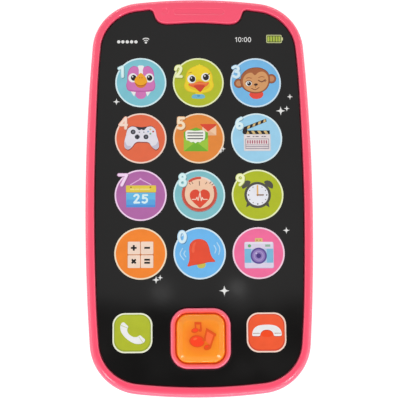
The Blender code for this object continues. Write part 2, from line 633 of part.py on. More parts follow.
def wires():
    tube("speaker_wire_red", [(17.0, -34.8, 9.0), (18.5, -31.0, 6.6), (20.0, -22.0, 4.2), (20.5, 2.0, 3.6), (19.8, 24.0, 3.8), (17.6, 33.0, 5.6), (13.6, 38.6, 7.2), (10.9, 41.2, 7.4)], 0.6, RED_WIRE)
    tube("speaker_wire_black", [(-17.0, -34.8, 9.0), (-18.5, -31.0, 6.6), (-20.0, -22.0, 4.2), (-20.5, 2.0, 3.6), (-19.8, 24.0, 3.8), (-17.6, 33.0, 5.6), (-13.6, 38.6, 7.2), (-10.9, 41.2, 7.4)], 0.6, BLACK_WIRE)
    tube("battery_wire_red", [(CELL_X + 0.8, -27.4, 12.1), (CELL_X + 1.3, -29.4, 11.9), (8.6, -32.4, 10.6), (9.8, -34.8, 9.1)], 0.6, RED_WIRE, step=1.6)
    tube("battery_wire_black", [(-CELL_X - 0.8, -27.4, 12.1), (-CELL_X - 1.3, -29.4, 11.9), (-8.6, -32.4, 10.6), (-9.8, -34.8, 9.1)], 0.6, BLACK_WIRE, step=1.6)


front_housing()
rear_housing()
screen_panel()
touch_film()
home_button()
home_dome()
board_parts()
power_switch()
speaker()
battery_door()
screw("door_screw", 0.0, DOOR_SCREW_Y, 0.1, 2.3, 0.7, 1.0, 6.4, 1.4)
for index, (sx, sy) in enumerate(HOUSING_SCREWS):
    screw(f"housing_screw_{index + 1}", sx, sy, 2.3, 2.2, 1.4, 1.15, 9.4, 1.35)
cell("battery_1", -CELL_X, BAY_Y1 - GAP - 0.4 - GAP, 1)
cell("battery_2", CELL_X, BAY_Y0 + GAP + 0.4 + GAP, -1)
contacts()
spring("battery_spring_1", -CELL_X, BAY_Y0 + GAP + 0.4, BAY_Y1 - 2 * GAP - 0.4 - CELL_LENGTH)
spring("battery_spring_2", CELL_X, BAY_Y1 - GAP - 0.4, BAY_Y0 + 2 * GAP + 0.4 + CELL_LENGTH)
wires()
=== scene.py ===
"""Looks for the toy cell phone: finer shells, the printed touch panel, procedural materials, camera and light.

The phone lies on its back with the screen up (+Z) and its top towards +Y. Dimensions below are in
millimetres and are turned into metres where vertices are made.
"""

import math

import bmesh
import bpy
import numpy as np
from mathutils import Matrix, Vector, geometry


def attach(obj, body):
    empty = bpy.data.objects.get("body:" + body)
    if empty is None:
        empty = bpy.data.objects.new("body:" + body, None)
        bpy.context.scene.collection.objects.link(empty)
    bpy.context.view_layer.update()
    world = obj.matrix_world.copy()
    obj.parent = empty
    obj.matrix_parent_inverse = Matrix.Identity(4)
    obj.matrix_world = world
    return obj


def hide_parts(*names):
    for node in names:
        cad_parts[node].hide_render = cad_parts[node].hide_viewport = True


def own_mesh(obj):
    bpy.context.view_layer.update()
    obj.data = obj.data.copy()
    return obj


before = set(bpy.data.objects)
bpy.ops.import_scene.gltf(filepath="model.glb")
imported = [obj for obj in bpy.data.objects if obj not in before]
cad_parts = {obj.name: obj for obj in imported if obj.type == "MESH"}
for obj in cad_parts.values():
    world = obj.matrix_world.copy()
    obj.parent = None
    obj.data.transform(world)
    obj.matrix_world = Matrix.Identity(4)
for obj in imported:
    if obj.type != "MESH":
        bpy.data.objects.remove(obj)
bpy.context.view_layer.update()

MM = 0.001

# ---- dimensions shared with the CAD model (mm) --------------------------------------------
LENGTH, WIDTH, THICKNESS = 150.0, 84.5, 20.0
SIDE_RADIUS, END_RADIUS, CORNER_RADIUS = 750.0, 200.0, 19.0
GAP = 0.3
PARTING_Z, WALL, FLOOR, BACK_FILLET = 10.0, 2.0, 2.0, 5.0
RIM_WIDTH, RIM_FILLET = 3.35, 2.4
DECK_LOW, DECK_TOP = 14.9, 16.5
PANEL_LOW, PANEL_TOP = 17.4, 18.7
BUTTON_Y = -53.9
RING_HALF, RING_CORNER, RING_WIDTH = 10.86, 6.3, 1.75
BUTTON_GAP = 0.33
CAP_FLAT_Z, CAP_TOP_Z = 20.76, 20.9
FLANGE_LOW, FLANGE_TOP, FLANGE_OUT = 13.2, 14.6, 1.3
CELL_RADIUS, CELL_LENGTH, CELL_X, CELL_Z = 5.25, 44.5, 5.65, 7.75
BAY_X, BAY_Y0, BAY_Y1, BAY_TOP = 11.4, -23.5, 27.5, 13.3
BAY_WALL, BAY_ROOF = 1.5, 1.2
DOOR_X, DOOR_Y0, DOOR_Y1, DOOR_CORNER = 14.5, -33.5, 30.5, 3.0
DOOR_RECESS, DOOR_THICK, DOOR_SCREW_Y = 1.9, 1.6, -28.6
SPEAKER_Y = 50.0
BOARD_TOP = 9.6
SWITCH_Y, SWITCH_TRAVEL = -50.0, 4.0
TAIL_Y = -38.4
HOUSING_SCREWS = [(sx * x, y) for y, x in ((60.5, 28.5), (2.0, 33.5), (-60.5, 28.5)) for sx in (-1, 1)]
BOARD_SCREWS = [(-21.0, -41.0), (21.0, -41.0), (0.0, -67.4)]
NOTCH_HALF = [(18.3, 70.78), (17.35, 70.25), (16.75, 69.0), (16.2, 67.5), (15.6, 66.6), (14.7, 65.8), (13.4, 65.32), (12.0, 65.16), (9.0, 65.28), (4.5, 65.58), (0.0, 65.7)]


# ---- curves ---------------------------------------------------------------------------------
def smooth(points, step=0.5, closed=True):
    """A smooth curve through the points, sampled about every step millimetres."""
    points = [Vector(p) for p in points]
    n = len(points)
    spans = [(points[(i + 1) % n] - points[i]).length for i in range(n if closed else n - 1)]
    tangents = []
    for i in range(n):
        if not closed and i == 0:
            tangents.append((points[1] - points[0]) / spans[0])
        elif not closed and i == n - 1:
            tangents.append((points[-1] - points[-2]) / spans[-1])
        else:
            a, b = spans[i - 1], spans[i]
            back, ahead = (points[i] - points[i - 1]) / a, (points[(i + 1) % n] - points[i]) / b
            tangents.append((back * b + ahead * a) / (a + b))
    out = []
    for i, span in enumerate(spans):
        p, q = points[i], points[(i + 1) % n]
        m, k = tangents[i] * span, tangents[(i + 1) % n] * span
        count = max(2, round(span / step))
        for j in range(count):
            t = j / count
            at = p * (2 * t**3 - 3 * t**2 + 1) + m * (t**3 - 2 * t**2 + t) + q * (3 * t**2 - 2 * t**3) + k * (t**3 - t**2)
            out.append(tuple(at))
    if not closed:
        out.append(tuple(points[-1]))
    return out


def quarter_centres():
    """Centres of the side, corner and end arcs of one quarter of the outline."""
    side = Vector((WIDTH / 2 - SIDE_RADIUS, 0.0))
    end = Vector((0.0, LENGTH / 2 - END_RADIUS))
    r1, r2 = SIDE_RADIUS - CORNER_RADIUS, END_RADIUS - CORNER_RADIUS
    apart = end - side
    d = apart.length
    along = (r1 * r1 - r2 * r2 + d * d) / (2 * d)
    out = math.sqrt(r1 * r1 - along * along)
    unit = apart / d
    corner = side + unit * along + Vector((-unit.y, unit.x)) * out
    if corner.x < 0 or corner.y < 0:
        corner = side + unit * along - Vector((-unit.y, unit.x)) * out
    return side, corner, end


def quarter(inset, n_side, n_corner, n_end):
    side, corner, end = quarter_centres()
    a1 = math.atan2(corner.y - side.y, corner.x - side.x)
    a2 = math.atan2(corner.y - end.y, corner.x - end.x)
    points = []
    for centre, radius, low, high, n in (
        (side, SIDE_RADIUS, 0.0, a1, n_side),
        (corner, CORNER_RADIUS, a1, a2, n_corner),
        (end, END_RADIUS, a2, math.pi / 2, n_end),
    ):
        for i in range(n):
            a = low + (high - low) * i / n
            points.append((centre.x + (radius - inset) * math.cos(a), centre.y + (radius - inset) * math.sin(a)))
    return points


def outline(inset, n_side=12, n_corner=26, n_end=10):
    """The phone's outline, counter-clockwise, moved in by inset."""
    first = quarter(inset, n_side, n_corner, n_end)
    top = (0.0, LENGTH / 2 - inset)
    half = first + [top] + [(-x, y) for x, y in reversed(first)]
    return half + [(x, -y) for x, y in reversed(half[1:-1])]


def opening():
    """The edge of the front opening: the outline moved in by the rim, with the notch at the top.

    The rim is a touch narrower towards the two ends of each side and a touch wider along the bottom.
    """
    eased = []
    for x, y in outline(RIM_WIDTH):
        wider = 0.34 * math.exp(-(((abs(x) - 38.0) / 4.0) ** 2) - ((y - 48.0) / 17.0) ** 2)
        wider += 0.16 * math.exp(-(((abs(x) - 38.0) / 4.0) ** 2) - ((y + 46.0) / 12.0) ** 2)
        lift = 0.28 / (1.0 + math.exp((y + 66.0) / 1.5))
        eased.append((x + math.copysign(wider, x), y + lift))
    points = [p for p in eased if not (abs(p[0]) < 19.5 and p[1] > 0)]
    first = next(i for i, p in enumerate(points) if p[0] < 0 and p[1] > 0)
    right = points[first - 1]
    half = smooth([right] + NOTCH_HALF + [(-4.5, 65.58)], 0.45, closed=False)
    half = [p for p in half[1:] if p[0] > 0.05]
    notch = half + [(0.0, 65.7)] + [(-x, y) for x, y in reversed(half)]
    return points[:first] + notch + points[first:]


def grown(points, by):
    """A loop with each point moved out along its own normal by a small distance."""
    moved = []
    n = len(points)
    for i in range(n):
        before, here, after = (Vector(points[j % n]) for j in (i - 1, i, i + 1))
        one, two = (here - before).normalized(), (after - here).normalized()
        normal = Vector((one.y + two.y, -one.x - two.x)).normalized()
        spread = max(0.6, normal.dot(Vector((one.y, -one.x))))
        moved.append((here.x + normal.x * by / spread, here.y + normal.y * by / spread))
    return moved


def rounded(cx, cy, hx, hy, r, n=8, turn=0.0):
    """A rectangle with rounded corners, counter-clockwise, turned by some degrees."""
    points = []
    c, s = math.cos(math.radians(turn)), math.sin(math.radians(turn))
    for sx, sy, start in ((1, 1, 0.0), (-1, 1, 90.0), (-1, -1, 180.0), (1, -1, 270.0)):
        for i in range(n + 1):
            a = math.radians(start + 90.0 * i / n)
            x, y = sx * (hx - r) + r * math.cos(a), sy * (hy - r) + r * math.sin(a)
            points.append((cx + x * c - y * s, cy + x * s + y * c))
    return [p for p, q in zip(points, points[1:] + points[:1]) if math.dist(p, q) > 0.03 * min(1.0, r)]


def ellipse(cx, cy, rx, ry=None, turn=0.0, n=None):
    ry = rx if ry is None else ry
    n = n or max(14, min(64, round(9 * max(rx, ry) + 12)))
    c, s = math.cos(math.radians(turn)), math.sin(math.radians(turn))
    points = []
    for i in range(n):
        a = 2 * math.pi * i / n
        x, y = rx * math.cos(a), ry * math.sin(a)
        points.append((cx + x * c - y * s, cy + x * s + y * c))
    return points


def cross(cx, cy, reach, half):
    a, b = reach, half
    return [(cx + x, cy + y) for x, y in ((a, b), (b, b), (b, a), (-b, a), (-b, b), (-a, b), (-a, -b), (-b, -b), (-b, -a), (b, -a), (b, -b), (a, -b))]


def inside(point, loop):
    x, y = point
    hit = False
    for (x1, y1), (x2, y2) in zip(loop, loop[1:] + loop[:1]):
        if (y1 > y) != (y2 > y) and x < x1 + (y - y1) * (x2 - x1) / (y2 - y1):
            hit = not hit
    return hit


def inside_all(points, loop):
    """Which of many points (an N x 2 array) lie inside a loop."""
    hit = np.zeros(len(points), bool)
    x, y = points[:, 0], points[:, 1]
    for (x1, y1), (x2, y2) in zip(loop, loop[1:] + loop[:1]):
        if y1 == y2:
            continue
        crosses = ((y1 > y) != (y2 > y)) & (x < x1 + (y - y1) * (x2 - x1) / (y2 - y1))
        hit ^= crosses
    return hit


# ---- procedural materials -------------------------------------------------------------------
def linear(r, g, b):
    """A colour given as 0..255 screen values, as linear light."""
    return tuple((v / 255 / 12.92) if v / 255 <= 0.04045 else ((v / 255 + 0.055) / 1.055) ** 2.4 for v in (r, g, b))


class Shade:
    """A small helper for building one node material."""

    def __init__(self, name, rough, metallic=0.0, coat=0.0, coat_rough=0.03, ior=1.5):
        self.material = bpy.data.materials.new(name)
        self.material.use_nodes = True
        self.tree = self.material.node_tree
        self.shader = self.tree.nodes["Principled BSDF"]
        self.shader.inputs["Roughness"].default_value = rough
        self.shader.inputs["Metallic"].default_value = metallic
        self.shader.inputs["Coat Weight"].default_value = coat
        self.shader.inputs["Coat Roughness"].default_value = coat_rough
        self.shader.inputs["IOR"].default_value = ior
        self.coords = self.tree.nodes.new("ShaderNodeTexCoord").outputs["Object"]

    def noise(self, scale, detail=2.0, stretch=None, rough=0.5):
        node = self.tree.nodes.new("ShaderNodeTexNoise")
        node.inputs["Scale"].default_value = scale
        node.inputs["Detail"].default_value = detail
        node.inputs["Roughness"].default_value = rough
        source = self.coords
        if stretch:
            mapping = self.tree.nodes.new("ShaderNodeMapping")
            mapping.inputs["Scale"].default_value = stretch
            self.tree.links.new(source, mapping.inputs["Vector"])
            source = mapping.outputs["Vector"]
        self.tree.links.new(source, node.inputs["Vector"])
        return node.outputs["Fac"]

    def ramp(self, value, stops):
        """Colours along a value: stops are (position, linear rgb)."""
        node = self.tree.nodes.new("ShaderNodeValToRGB")
        ramp = node.color_ramp
        while len(ramp.elements) < len(stops):
            ramp.elements.new(0.5)
        for element, (position, colour) in zip(ramp.elements, stops):
            element.position = position
            element.color = (*colour, 1.0)
        self.tree.links.new(value, node.inputs["Fac"])
        return node.outputs["Color"]

    def span(self, value, low, high, from_low=0.0, from_high=1.0):
        node = self.tree.nodes.new("ShaderNodeMapRange")
        for socket, number in (("From Min", from_low), ("From Max", from_high), ("To Min", low), ("To Max", high)):
            node.inputs[socket].default_value = number
        self.tree.links.new(value, node.inputs["Value"])
        return node.outputs["Result"]

    def mottle(self, colour, scale=45.0, depth=0.03, detail=2.0):
        """The colour, with soft lighter and darker clouds."""
        low = tuple(max(0.0, c * (1 - depth)) for c in colour)
        high = tuple(min(1.0, c * (1 + depth)) for c in colour)
        self.tree.links.new(self.ramp(self.noise(scale, detail), [(0.3, low), (0.7, high)]), self.shader.inputs["Base Color"])

    def scuff(self, low, high, scale=160.0, detail=3.0, stretch=None):
        """Roughness that wanders between two values."""
        self.tree.links.new(self.span(self.noise(scale, detail, stretch), low, high, 0.3, 0.7), self.shader.inputs["Roughness"])

    def grain(self, scale, depth_mm, detail=2.0, stretch=None):
        """A fine surface texture, its height in millimetres."""
        bump = self.tree.nodes.new("ShaderNodeBump")
        bump.inputs["Strength"].default_value = 1.0
        bump.inputs["Distance"].default_value = depth_mm * MM
        self.tree.links.new(self.noise(scale, detail, stretch), bump.inputs["Height"])
        self.tree.links.new(bump.outputs["Normal"], self.shader.inputs["Normal"])

    def done(self, colour=None):
        if colour:
            self.material.diffuse_color = (*colour, 1.0)
        return self.material


def plastic(name, colour, rough=(0.26, 0.34), depth=0.03, grain=(2600.0, 0.004), coat=0.0, cloud=35.0, coat_rough=0.06):
    made = Shade(name, sum(rough) / 2, coat=coat, coat_rough=coat_rough)
    made.mottle(colour, cloud, depth)
    made.scuff(*rough)
    made.grain(*grain)
    return made.done(colour)


def metal(name, colour, rough=(0.22, 0.36), stretch=(1.0, 1.0, 1.0), grain=(3000.0, 0.003), depth=0.08):
    made = Shade(name, sum(rough) / 2, metallic=1.0)
    made.mottle(colour, 900.0, depth, 3.0)
    made.scuff(*rough, scale=1500.0, stretch=stretch)
    made.grain(grain[0], grain[1], 3.0, stretch)
    return made.done(colour)


INKS = {}
INK_LEVEL = 0.895


def ink(*rgb):
    """A printed colour under the panel's gloss, with slight unevenness in the print."""
    if rgb not in INKS:
        made = Shade("ink_%02x%02x%02x" % rgb, 0.12, coat=0.0)
        colour = tuple(v * INK_LEVEL for v in linear(*rgb))
        made.mottle(colour, 260.0, 0.035, 2.0)
        made.scuff(0.10, 0.16, 500.0)
        INKS[rgb] = made.done(colour)
    return INKS[rgb]


def pink_material():
    """Pink plastic. Towards the button, the raised ring round the home button is painted orange-red as a painted glow
    of the orange button's light on it. The ring's outer part is painted a brighter pink as a painted highlight.
    """
    made = Shade("pink_plastic", 0.23, coat=0.5, coat_rough=0.24)
    made.shader.inputs["Sheen Weight"].default_value = 0.12
    made.shader.inputs["Sheen Roughness"].default_value = 0.25
    middle, core = (0.0, BUTTON_Y * MM, THICKNESS * MM), (RING_HALF - RING_CORNER) * MM
    steps = (("SUBTRACT", middle), ("ABSOLUTE", None), ("SUBTRACT", (core, core, 100.0)), ("MAXIMUM", (0.0, 0.0, 0.0)))
    at = made.coords
    for operation, value in steps:
        node = made.tree.nodes.new("ShaderNodeVectorMath")
        node.operation = operation
        made.tree.links.new(at, node.inputs[0])
        if value is not None:
            node.inputs[1].default_value = value
        at = node.outputs["Vector"]
    reach = made.tree.nodes.new("ShaderNodeVectorMath")
    reach.operation = "LENGTH"
    made.tree.links.new(at, reach.inputs[0])
    # painted glow: how far the ring's colour turns orange-red towards the button, standing in for the button's light on
    # it
    near = made.span(reach.outputs["Value"], 1.0, 0.0, (RING_CORNER - 1.75) * MM, (RING_CORNER - 0.35) * MM)
    height = made.tree.nodes.new("ShaderNodeSeparateXYZ")
    made.tree.links.new(made.coords, height.inputs["Vector"])
    above = made.span(height.outputs["Z"], 0.0, 1.0, 16.0 * MM, 17.0 * MM)
    button_glow_share = made.tree.nodes.new("ShaderNodeMath")
    button_glow_share.operation = "MULTIPLY"
    made.tree.links.new(near, button_glow_share.inputs[0])
    made.tree.links.new(above, button_glow_share.inputs[1])
    clouds = made.ramp(made.noise(35.0, 2.0), [(0.3, (0.965, 0.077, 0.157)), (0.7, (1.0, 0.081, 0.165))])
    mix = made.tree.nodes.new("ShaderNodeMix")
    mix.data_type = "RGBA"
    made.tree.links.new(button_glow_share.outputs["Value"], mix.inputs["Factor"])
    # painted highlight: the ring's outer part is painted a brighter pink
    ring = made.span(reach.outputs["Value"], 1.0, 0.0, (RING_CORNER + 0.25) * MM, (RING_CORNER + 0.5) * MM)
    ring_highlight_share = made.tree.nodes.new("ShaderNodeMath")
    ring_highlight_share.operation = "MULTIPLY"
    made.tree.links.new(ring, ring_highlight_share.inputs[0])
    made.tree.links.new(above, ring_highlight_share.inputs[1])
    bright = made.tree.nodes.new("ShaderNodeMix")
    bright.data_type = "RGBA"
    made.tree.links.new(ring_highlight_share.outputs["Value"], bright.inputs["Factor"])
    made.tree.links.new(clouds, bright.inputs["A"])
    # the painted highlight's brighter pink
    bright.inputs["B"].default_value = (1.0, 0.145, 0.235, 1.0)
    made.tree.links.new(bright.outputs["Result"], mix.inputs["A"])
    # the painted orange-red glow colour near the button
    mix.inputs["B"].default_value = (0.98, 0.105, 0.045, 1.0)
    made.tree.links.new(mix.outputs["Result"], made.shader.inputs["Base Color"])
    made.scuff(0.20, 0.26)
    made.grain(1400.0, 0.0006)
    return made.done((0.93, 0.078, 0.145))


RING_PINK = pink_material()
PINK = plastic("rear_pink_plastic", (0.95, 0.077, 0.154), (0.20, 0.26), 0.02, (1400.0, 0.0006), coat=0.5, coat_rough=0.24)
NOTE_RED = plastic("note_plastic", (0.80, 0.085, 0.008), (0.14, 0.2), 0.04, (1400.0, 0.0008))


def orange_material():
    """Orange, painted redder towards the middle of the cap and yellower towards its edge: painted shade in the middle
    and painted light towards the edge, standing in for thin translucent plastic over a dark core.
    """
    made = Shade("orange_plastic", 0.14, coat=0.5, coat_rough=0.04)
    made.shader.inputs["Specular IOR Level"].default_value = 0.2
    made.shader.inputs["Subsurface Weight"].default_value = 0.25
    made.shader.inputs["Subsurface Radius"].default_value = (1.0, 0.35, 0.12)
    made.shader.inputs["Subsurface Scale"].default_value = 0.002
    mapping = made.tree.nodes.new("ShaderNodeMapping")
    mapping.vector_type = "TEXTURE"
    mapping.inputs["Location"].default_value = (-0.0004, 0.0002, 0.0)
    mapping.inputs["Scale"].default_value = (0.0092, 0.0092, 10.0)
    made.tree.links.new(made.coords, mapping.inputs["Vector"])
    # painted shade and light: a gradient from the middle of the cap, redder in the middle and yellower at the edge
    painted_core_shade = made.tree.nodes.new("ShaderNodeTexGradient")
    painted_core_shade.gradient_type = "SPHERICAL"
    made.tree.links.new(mapping.outputs["Vector"], painted_core_shade.inputs["Vector"])
    ramp = made.ramp(painted_core_shade.outputs["Fac"], [(0.0, (1.0, 0.318, 0.024)), (0.30, (1.0, 0.305, 0.021)), (0.62, (1.0, 0.226, 0.018)), (0.9, (1.0, 0.185, 0.016))])
    tint = made.tree.nodes.new("ShaderNodeMix")
    tint.data_type = "RGBA"
    tint.blend_type = "MULTIPLY"
    tint.inputs["Factor"].default_value = 1.0
    clouds = made.ramp(made.noise(300.0, 2.0), [(0.3, (0.97, 0.94, 0.9)), (0.7, (1.0, 1.0, 1.0))])
    made.tree.links.new(ramp, tint.inputs["A"])
    made.tree.links.new(clouds, tint.inputs["B"])
    made.tree.links.new(tint.outputs["Result"], made.shader.inputs["Base Color"])
    made.scuff(0.12, 0.18)
    made.grain(1400.0, 0.0006)
    return made.done((1.0, 0.28, 0.03))


def skirt_material():
    """The cap's thin side wall, painted a deeper orange and given a faint emission: a painted glow standing in for
    light coming through it.
    """
    made = Shade("orange_skirt", 0.3)
    # painted glow: the deeper orange colour and the emission stand in for light coming through the thin wall
    made.mottle((0.80, 0.11, 0.016), 300.0, 0.04)
    made.shader.inputs["Emission Color"].default_value = (0.80, 0.055, 0.006, 1.0)
    made.shader.inputs["Emission Strength"].default_value = 0.13
    made.scuff(0.25, 0.35)
    made.grain(1400.0, 0.001)
    return made.done((0.95, 0.16, 0.022))


ORANGE = orange_material()
ORANGE_SKIRT = skirt_material()


def panel_material():
    made = Shade("panel_gloss", 0.07, ior=1.5)
    made.mottle((0.0042, 0.0037, 0.0035), 30.0, 0.25)
    made.scuff(0.045, 0.085, 70.0, 4.0)
    return made.done((0.005, 0.0045, 0.004))


PANEL = panel_material()
FILM = plastic("clear_film", (0.75, 0.70, 0.55), (0.3, 0.45), 0.05)
SILICONE = plastic("silicone", (0.80, 0.80, 0.78), (0.5, 0.65), 0.04)
BOARD = plastic("board_laminate", (0.02, 0.20, 0.08), (0.35, 0.5), 0.15, (900.0, 0.01))
BLACK = plastic("black_plastic", (0.02, 0.02, 0.02), (0.4, 0.55), 0.2)
CAN = plastic("capacitor_sleeve", (0.03, 0.05, 0.20), (0.3, 0.45), 0.1)
IVORY = plastic("connector_plastic", (0.85, 0.82, 0.72), (0.4, 0.55), 0.04)
WHITE = plastic("white_plastic", (0.82, 0.82, 0.80), (0.3, 0.42), 0.04)
STEEL = metal("steel", (0.56, 0.56, 0.57), (0.24, 0.38))
NICKEL = metal("nickel_plate", (0.75, 0.73, 0.68), (0.16, 0.28), (1.0, 1.0, 12.0))
MAGNET = metal("magnet", (0.30, 0.30, 0.31), (0.4, 0.6), grain=(1800.0, 0.01), depth=0.15)
PAPER = plastic("speaker_paper", (0.05, 0.05, 0.05), (0.75, 0.9), 0.2, (1500.0, 0.02))
FOAM = plastic("gasket_foam", (0.05, 0.05, 0.05), (0.85, 0.98), 0.3, (1200.0, 0.06))
CELL = plastic("cell_sleeve", (0.09, 0.27, 0.55), (0.22, 0.3), 0.05, (1800.0, 0.002))
CELL_BAND = plastic("cell_band", (0.82, 0.83, 0.84), (0.22, 0.3), 0.04, (1800.0, 0.002))
RED_WIRE = plastic("red_wire", (0.70, 0.03, 0.02), (0.35, 0.5), 0.1)
BLACK_WIRE = plastic("black_wire", (0.02, 0.02, 0.02), (0.35, 0.5), 0.2)


# ---- closed meshes from loops ---------------------------------------------------------------
class Body:
    """A closed mesh made of level loops, walls between them and flat faces with holes."""

    def __init__(self):
        self.bm = bmesh.new()
        self.slot = 0

    def loop(self, points, z):
        return [self.bm.verts.new((x * MM, y * MM, z * MM)) for x, y in points]

    def new_face(self, verts):
        face = self.bm.faces.new(verts)
        face.material_index = self.slot
        return face

    def wall(self, a, b):
        n = len(a)
        for i in range(n):
            j = (i + 1) % n
            self.new_face((a[i], a[j], b[j], b[i]))

    def stack(self, rings):
        """Walls through (points, z) rings; returns the first and the last loop."""
        loops = [self.loop(points, z) for points, z in rings]
        for a, b in zip(loops, loops[1:]):
            self.wall(a, b)
        return loops[0], loops[-1]

    def face(self, outer, holes=()):
        if not holes and len(outer) < 40:
            self.new_face(outer)
            return
        verts, edges = [], []
        for ring in (outer, *holes):
            base = len(verts)
            verts += ring
            edges += [(base + i, base + (i + 1) % len(ring)) for i in range(len(ring))]
        flat = [Vector((v.co.x / MM, v.co.y / MM)) for v in verts]
        made = geometry.delaunay_2d_cdt(flat, edges, [], 0, 1e-5)
        rings = [[(v.co.x / MM, v.co.y / MM) for v in ring] for ring in (outer, *holes)]
        tris = [tuple(t) for t in made[2]]
        centres = np.array([[sum(made[0][i][k] for i in t) / 3 for k in (0, 1)] for t in tris])
        keep = inside_all(centres, rings[0])
        for ring in rings[1:]:
            keep &= ~inside_all(centres, ring)
        for tri, kept in zip(tris, keep):
            if kept:
                self.new_face([verts[made[3][i][0]] for i in tri])

    def finish(self, name, materials, origin=(0, 0, 0), smooth=35.0):
        bmesh.ops.recalc_face_normals(self.bm, faces=self.bm.faces)
        if self.bm.calc_volume(signed=True) < 0:
            bmesh.ops.reverse_faces(self.bm, faces=self.bm.faces)
        at = Vector(origin) * MM
        bmesh.ops.translate(self.bm, verts=self.bm.verts, vec=-at)
        mesh = bpy.data.meshes.new(name)
        self.bm.to_mesh(mesh)
        self.bm.free()
        mesh.shade_smooth()
        mesh.set_sharp_from_angle(angle=math.radians(smooth))
        obj = bpy.data.objects.new(name, mesh)
        obj.location = at
        for made in materials if isinstance(materials, (list, tuple)) else [materials]:
            mesh.materials.append(made)
        bpy.context.scene.collection.objects.link(obj)
        even = obj.modifiers.new("even_normals", "WEIGHTED_NORMAL")
        even.mode, even.weight, even.keep_sharp = "FACE_AREA", 60, True
        return obj


def lathe(profile, n=48, centre=(0.0, 0.0), turn=None, bands=()):
    """A closed body turned about a vertical axis. bands are (first ring, material index)."""
    body = Body()
    loops = [body.loop(ellipse(centre[0], centre[1], r, n=n), z) for r, z in profile if r > 0]
    for k, (a, b) in enumerate(zip(loops, loops[1:])):
        body.slot = next((slot for start, slot in reversed(bands) if k >= start), 0)
        body.wall(a, b)
    if profile[0][0] > 0 and profile[-1][0] > 0:
        body.wall(loops[-1], loops[0])
    else:
        body.slot = bands[0][1] if bands else 0
        body.bm.faces.new(loops[0]).material_index = body.slot
        body.bm.faces.new(loops[-1]).material_index = bands[-1][1] if bands else 0
    if turn:
        bmesh.ops.transform(body.bm, matrix=turn, verts=body.bm.verts)
    return body


def part(obj, body, slot, *nodes):
    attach(obj, body)
    if nodes:
        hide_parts(*nodes)
    return obj


# ---- front shell ----------------------------------------------------------------------------
def rim_arc(centre_in, centre_z, radius, n):
    return [
        (centre_in - radius * math.sin(math.pi / 2 * i / n), centre_z + radius * math.cos(math.pi / 2 * i / n))
        for i in range(n + 1)
    ]


def ring_loop(inset):
    return rounded(0, BUTTON_Y, RING_HALF - inset, RING_HALF - inset, RING_CORNER - inset, 16)


def dimple(body, points, z, depth, slope):
    """A shallow recess with a sloping wall; returns its mouth."""
    mouth, low = body.stack([(points, z), (grown(points, -slope * 0.5), z - depth * 0.75), (grown(points, -slope), z - depth)])
    body.face(low)
    return mouth


def front_shell():
    body = Body()
    edge = opening()
    rounding = [(0.0, 0.55), (0.02, 0.40), (0.08, 0.25), (0.17, 0.13), (0.3, 0.045), (0.42, 0.01), (0.55, 0.0)]
    deck_edge, crest_in = body.stack([(edge, DECK_TOP)] + [(grown(edge, out), THICKNESS - down) for out, down in rounding])
    arc = rim_arc(RIM_FILLET, THICKNESS - RIM_FILLET, RIM_FILLET, 12)
    rings = [(outline(i), z) for i, z in arc]
    rings += [(outline(0), PARTING_Z + 0.55), (outline(0.1), PARTING_Z + 0.35), (outline(0.35), PARTING_Z + 0.15), (outline(WALL), PARTING_Z + 0.15), (outline(WALL), DECK_LOW)]
    crest_out, deck_under = body.stack(rings)
    marks = [
        dimple(body, ellipse(-12.6, 69.7, 1.4, n=40), THICKNESS, 0.15, 0.30),
        dimple(body, rounded(0.3, 69.7, 9.8, 1.32, 1.31, 12), THICKNESS, 0.15, 0.30),
    ]
    body.face(crest_out, [crest_in, *marks])
    half = RING_WIDTH / 2
    crown = [(half - half * math.cos(math.pi * i / 16), THICKNESS - 0.9 + 0.9 * math.sin(math.pi * i / 16)) for i in range(17)]
    ring_foot, hole_low = body.stack([(ring_loop(0), DECK_TOP)] + [(ring_loop(i), z) for i, z in crown] + [(ring_loop(RING_WIDTH), DECK_LOW)])
    slot = rounded(0, TAIL_Y, 7.2, 0.8, 0.6, 4)
    slot_top, slot_low = body.stack([(slot, DECK_TOP), (slot, DECK_LOW)])
    body.face(deck_edge, [ring_foot, slot_top])
    holes = [hole_low, slot_low]
    for x, y in HOUSING_SCREWS:
        foot, tip = body.stack([(ellipse(x, y, 3.2, n=24), DECK_LOW), (ellipse(x, y, 3.0, n=24), PARTING_Z - 0.1)])
        mouth, bottom = body.stack([(ellipse(x, y, 1.45, n=20), PARTING_Z - 0.1), (ellipse(x, y, 1.45, n=20), 13.8)])
        body.face(tip, [mouth])
        body.face(bottom)
        holes.append(foot)
    for x, y in BOARD_SCREWS:
        foot, tip = body.stack([(ellipse(x, y, 2.6, n=24), DECK_LOW), (ellipse(x, y, 2.4, n=24), BOARD_TOP + GAP)])
        mouth, bottom = body.stack([(ellipse(x, y, 1.3, n=20), BOARD_TOP + GAP), (ellipse(x, y, 1.3, n=20), 13.6)])
        body.face(tip, [mouth])
        body.face(bottom)
        holes.append(foot)
    body.face(deck_under, holes)
    return part(body.finish("front_shell", RING_PINK), "case", "case_pink", "front_housing")


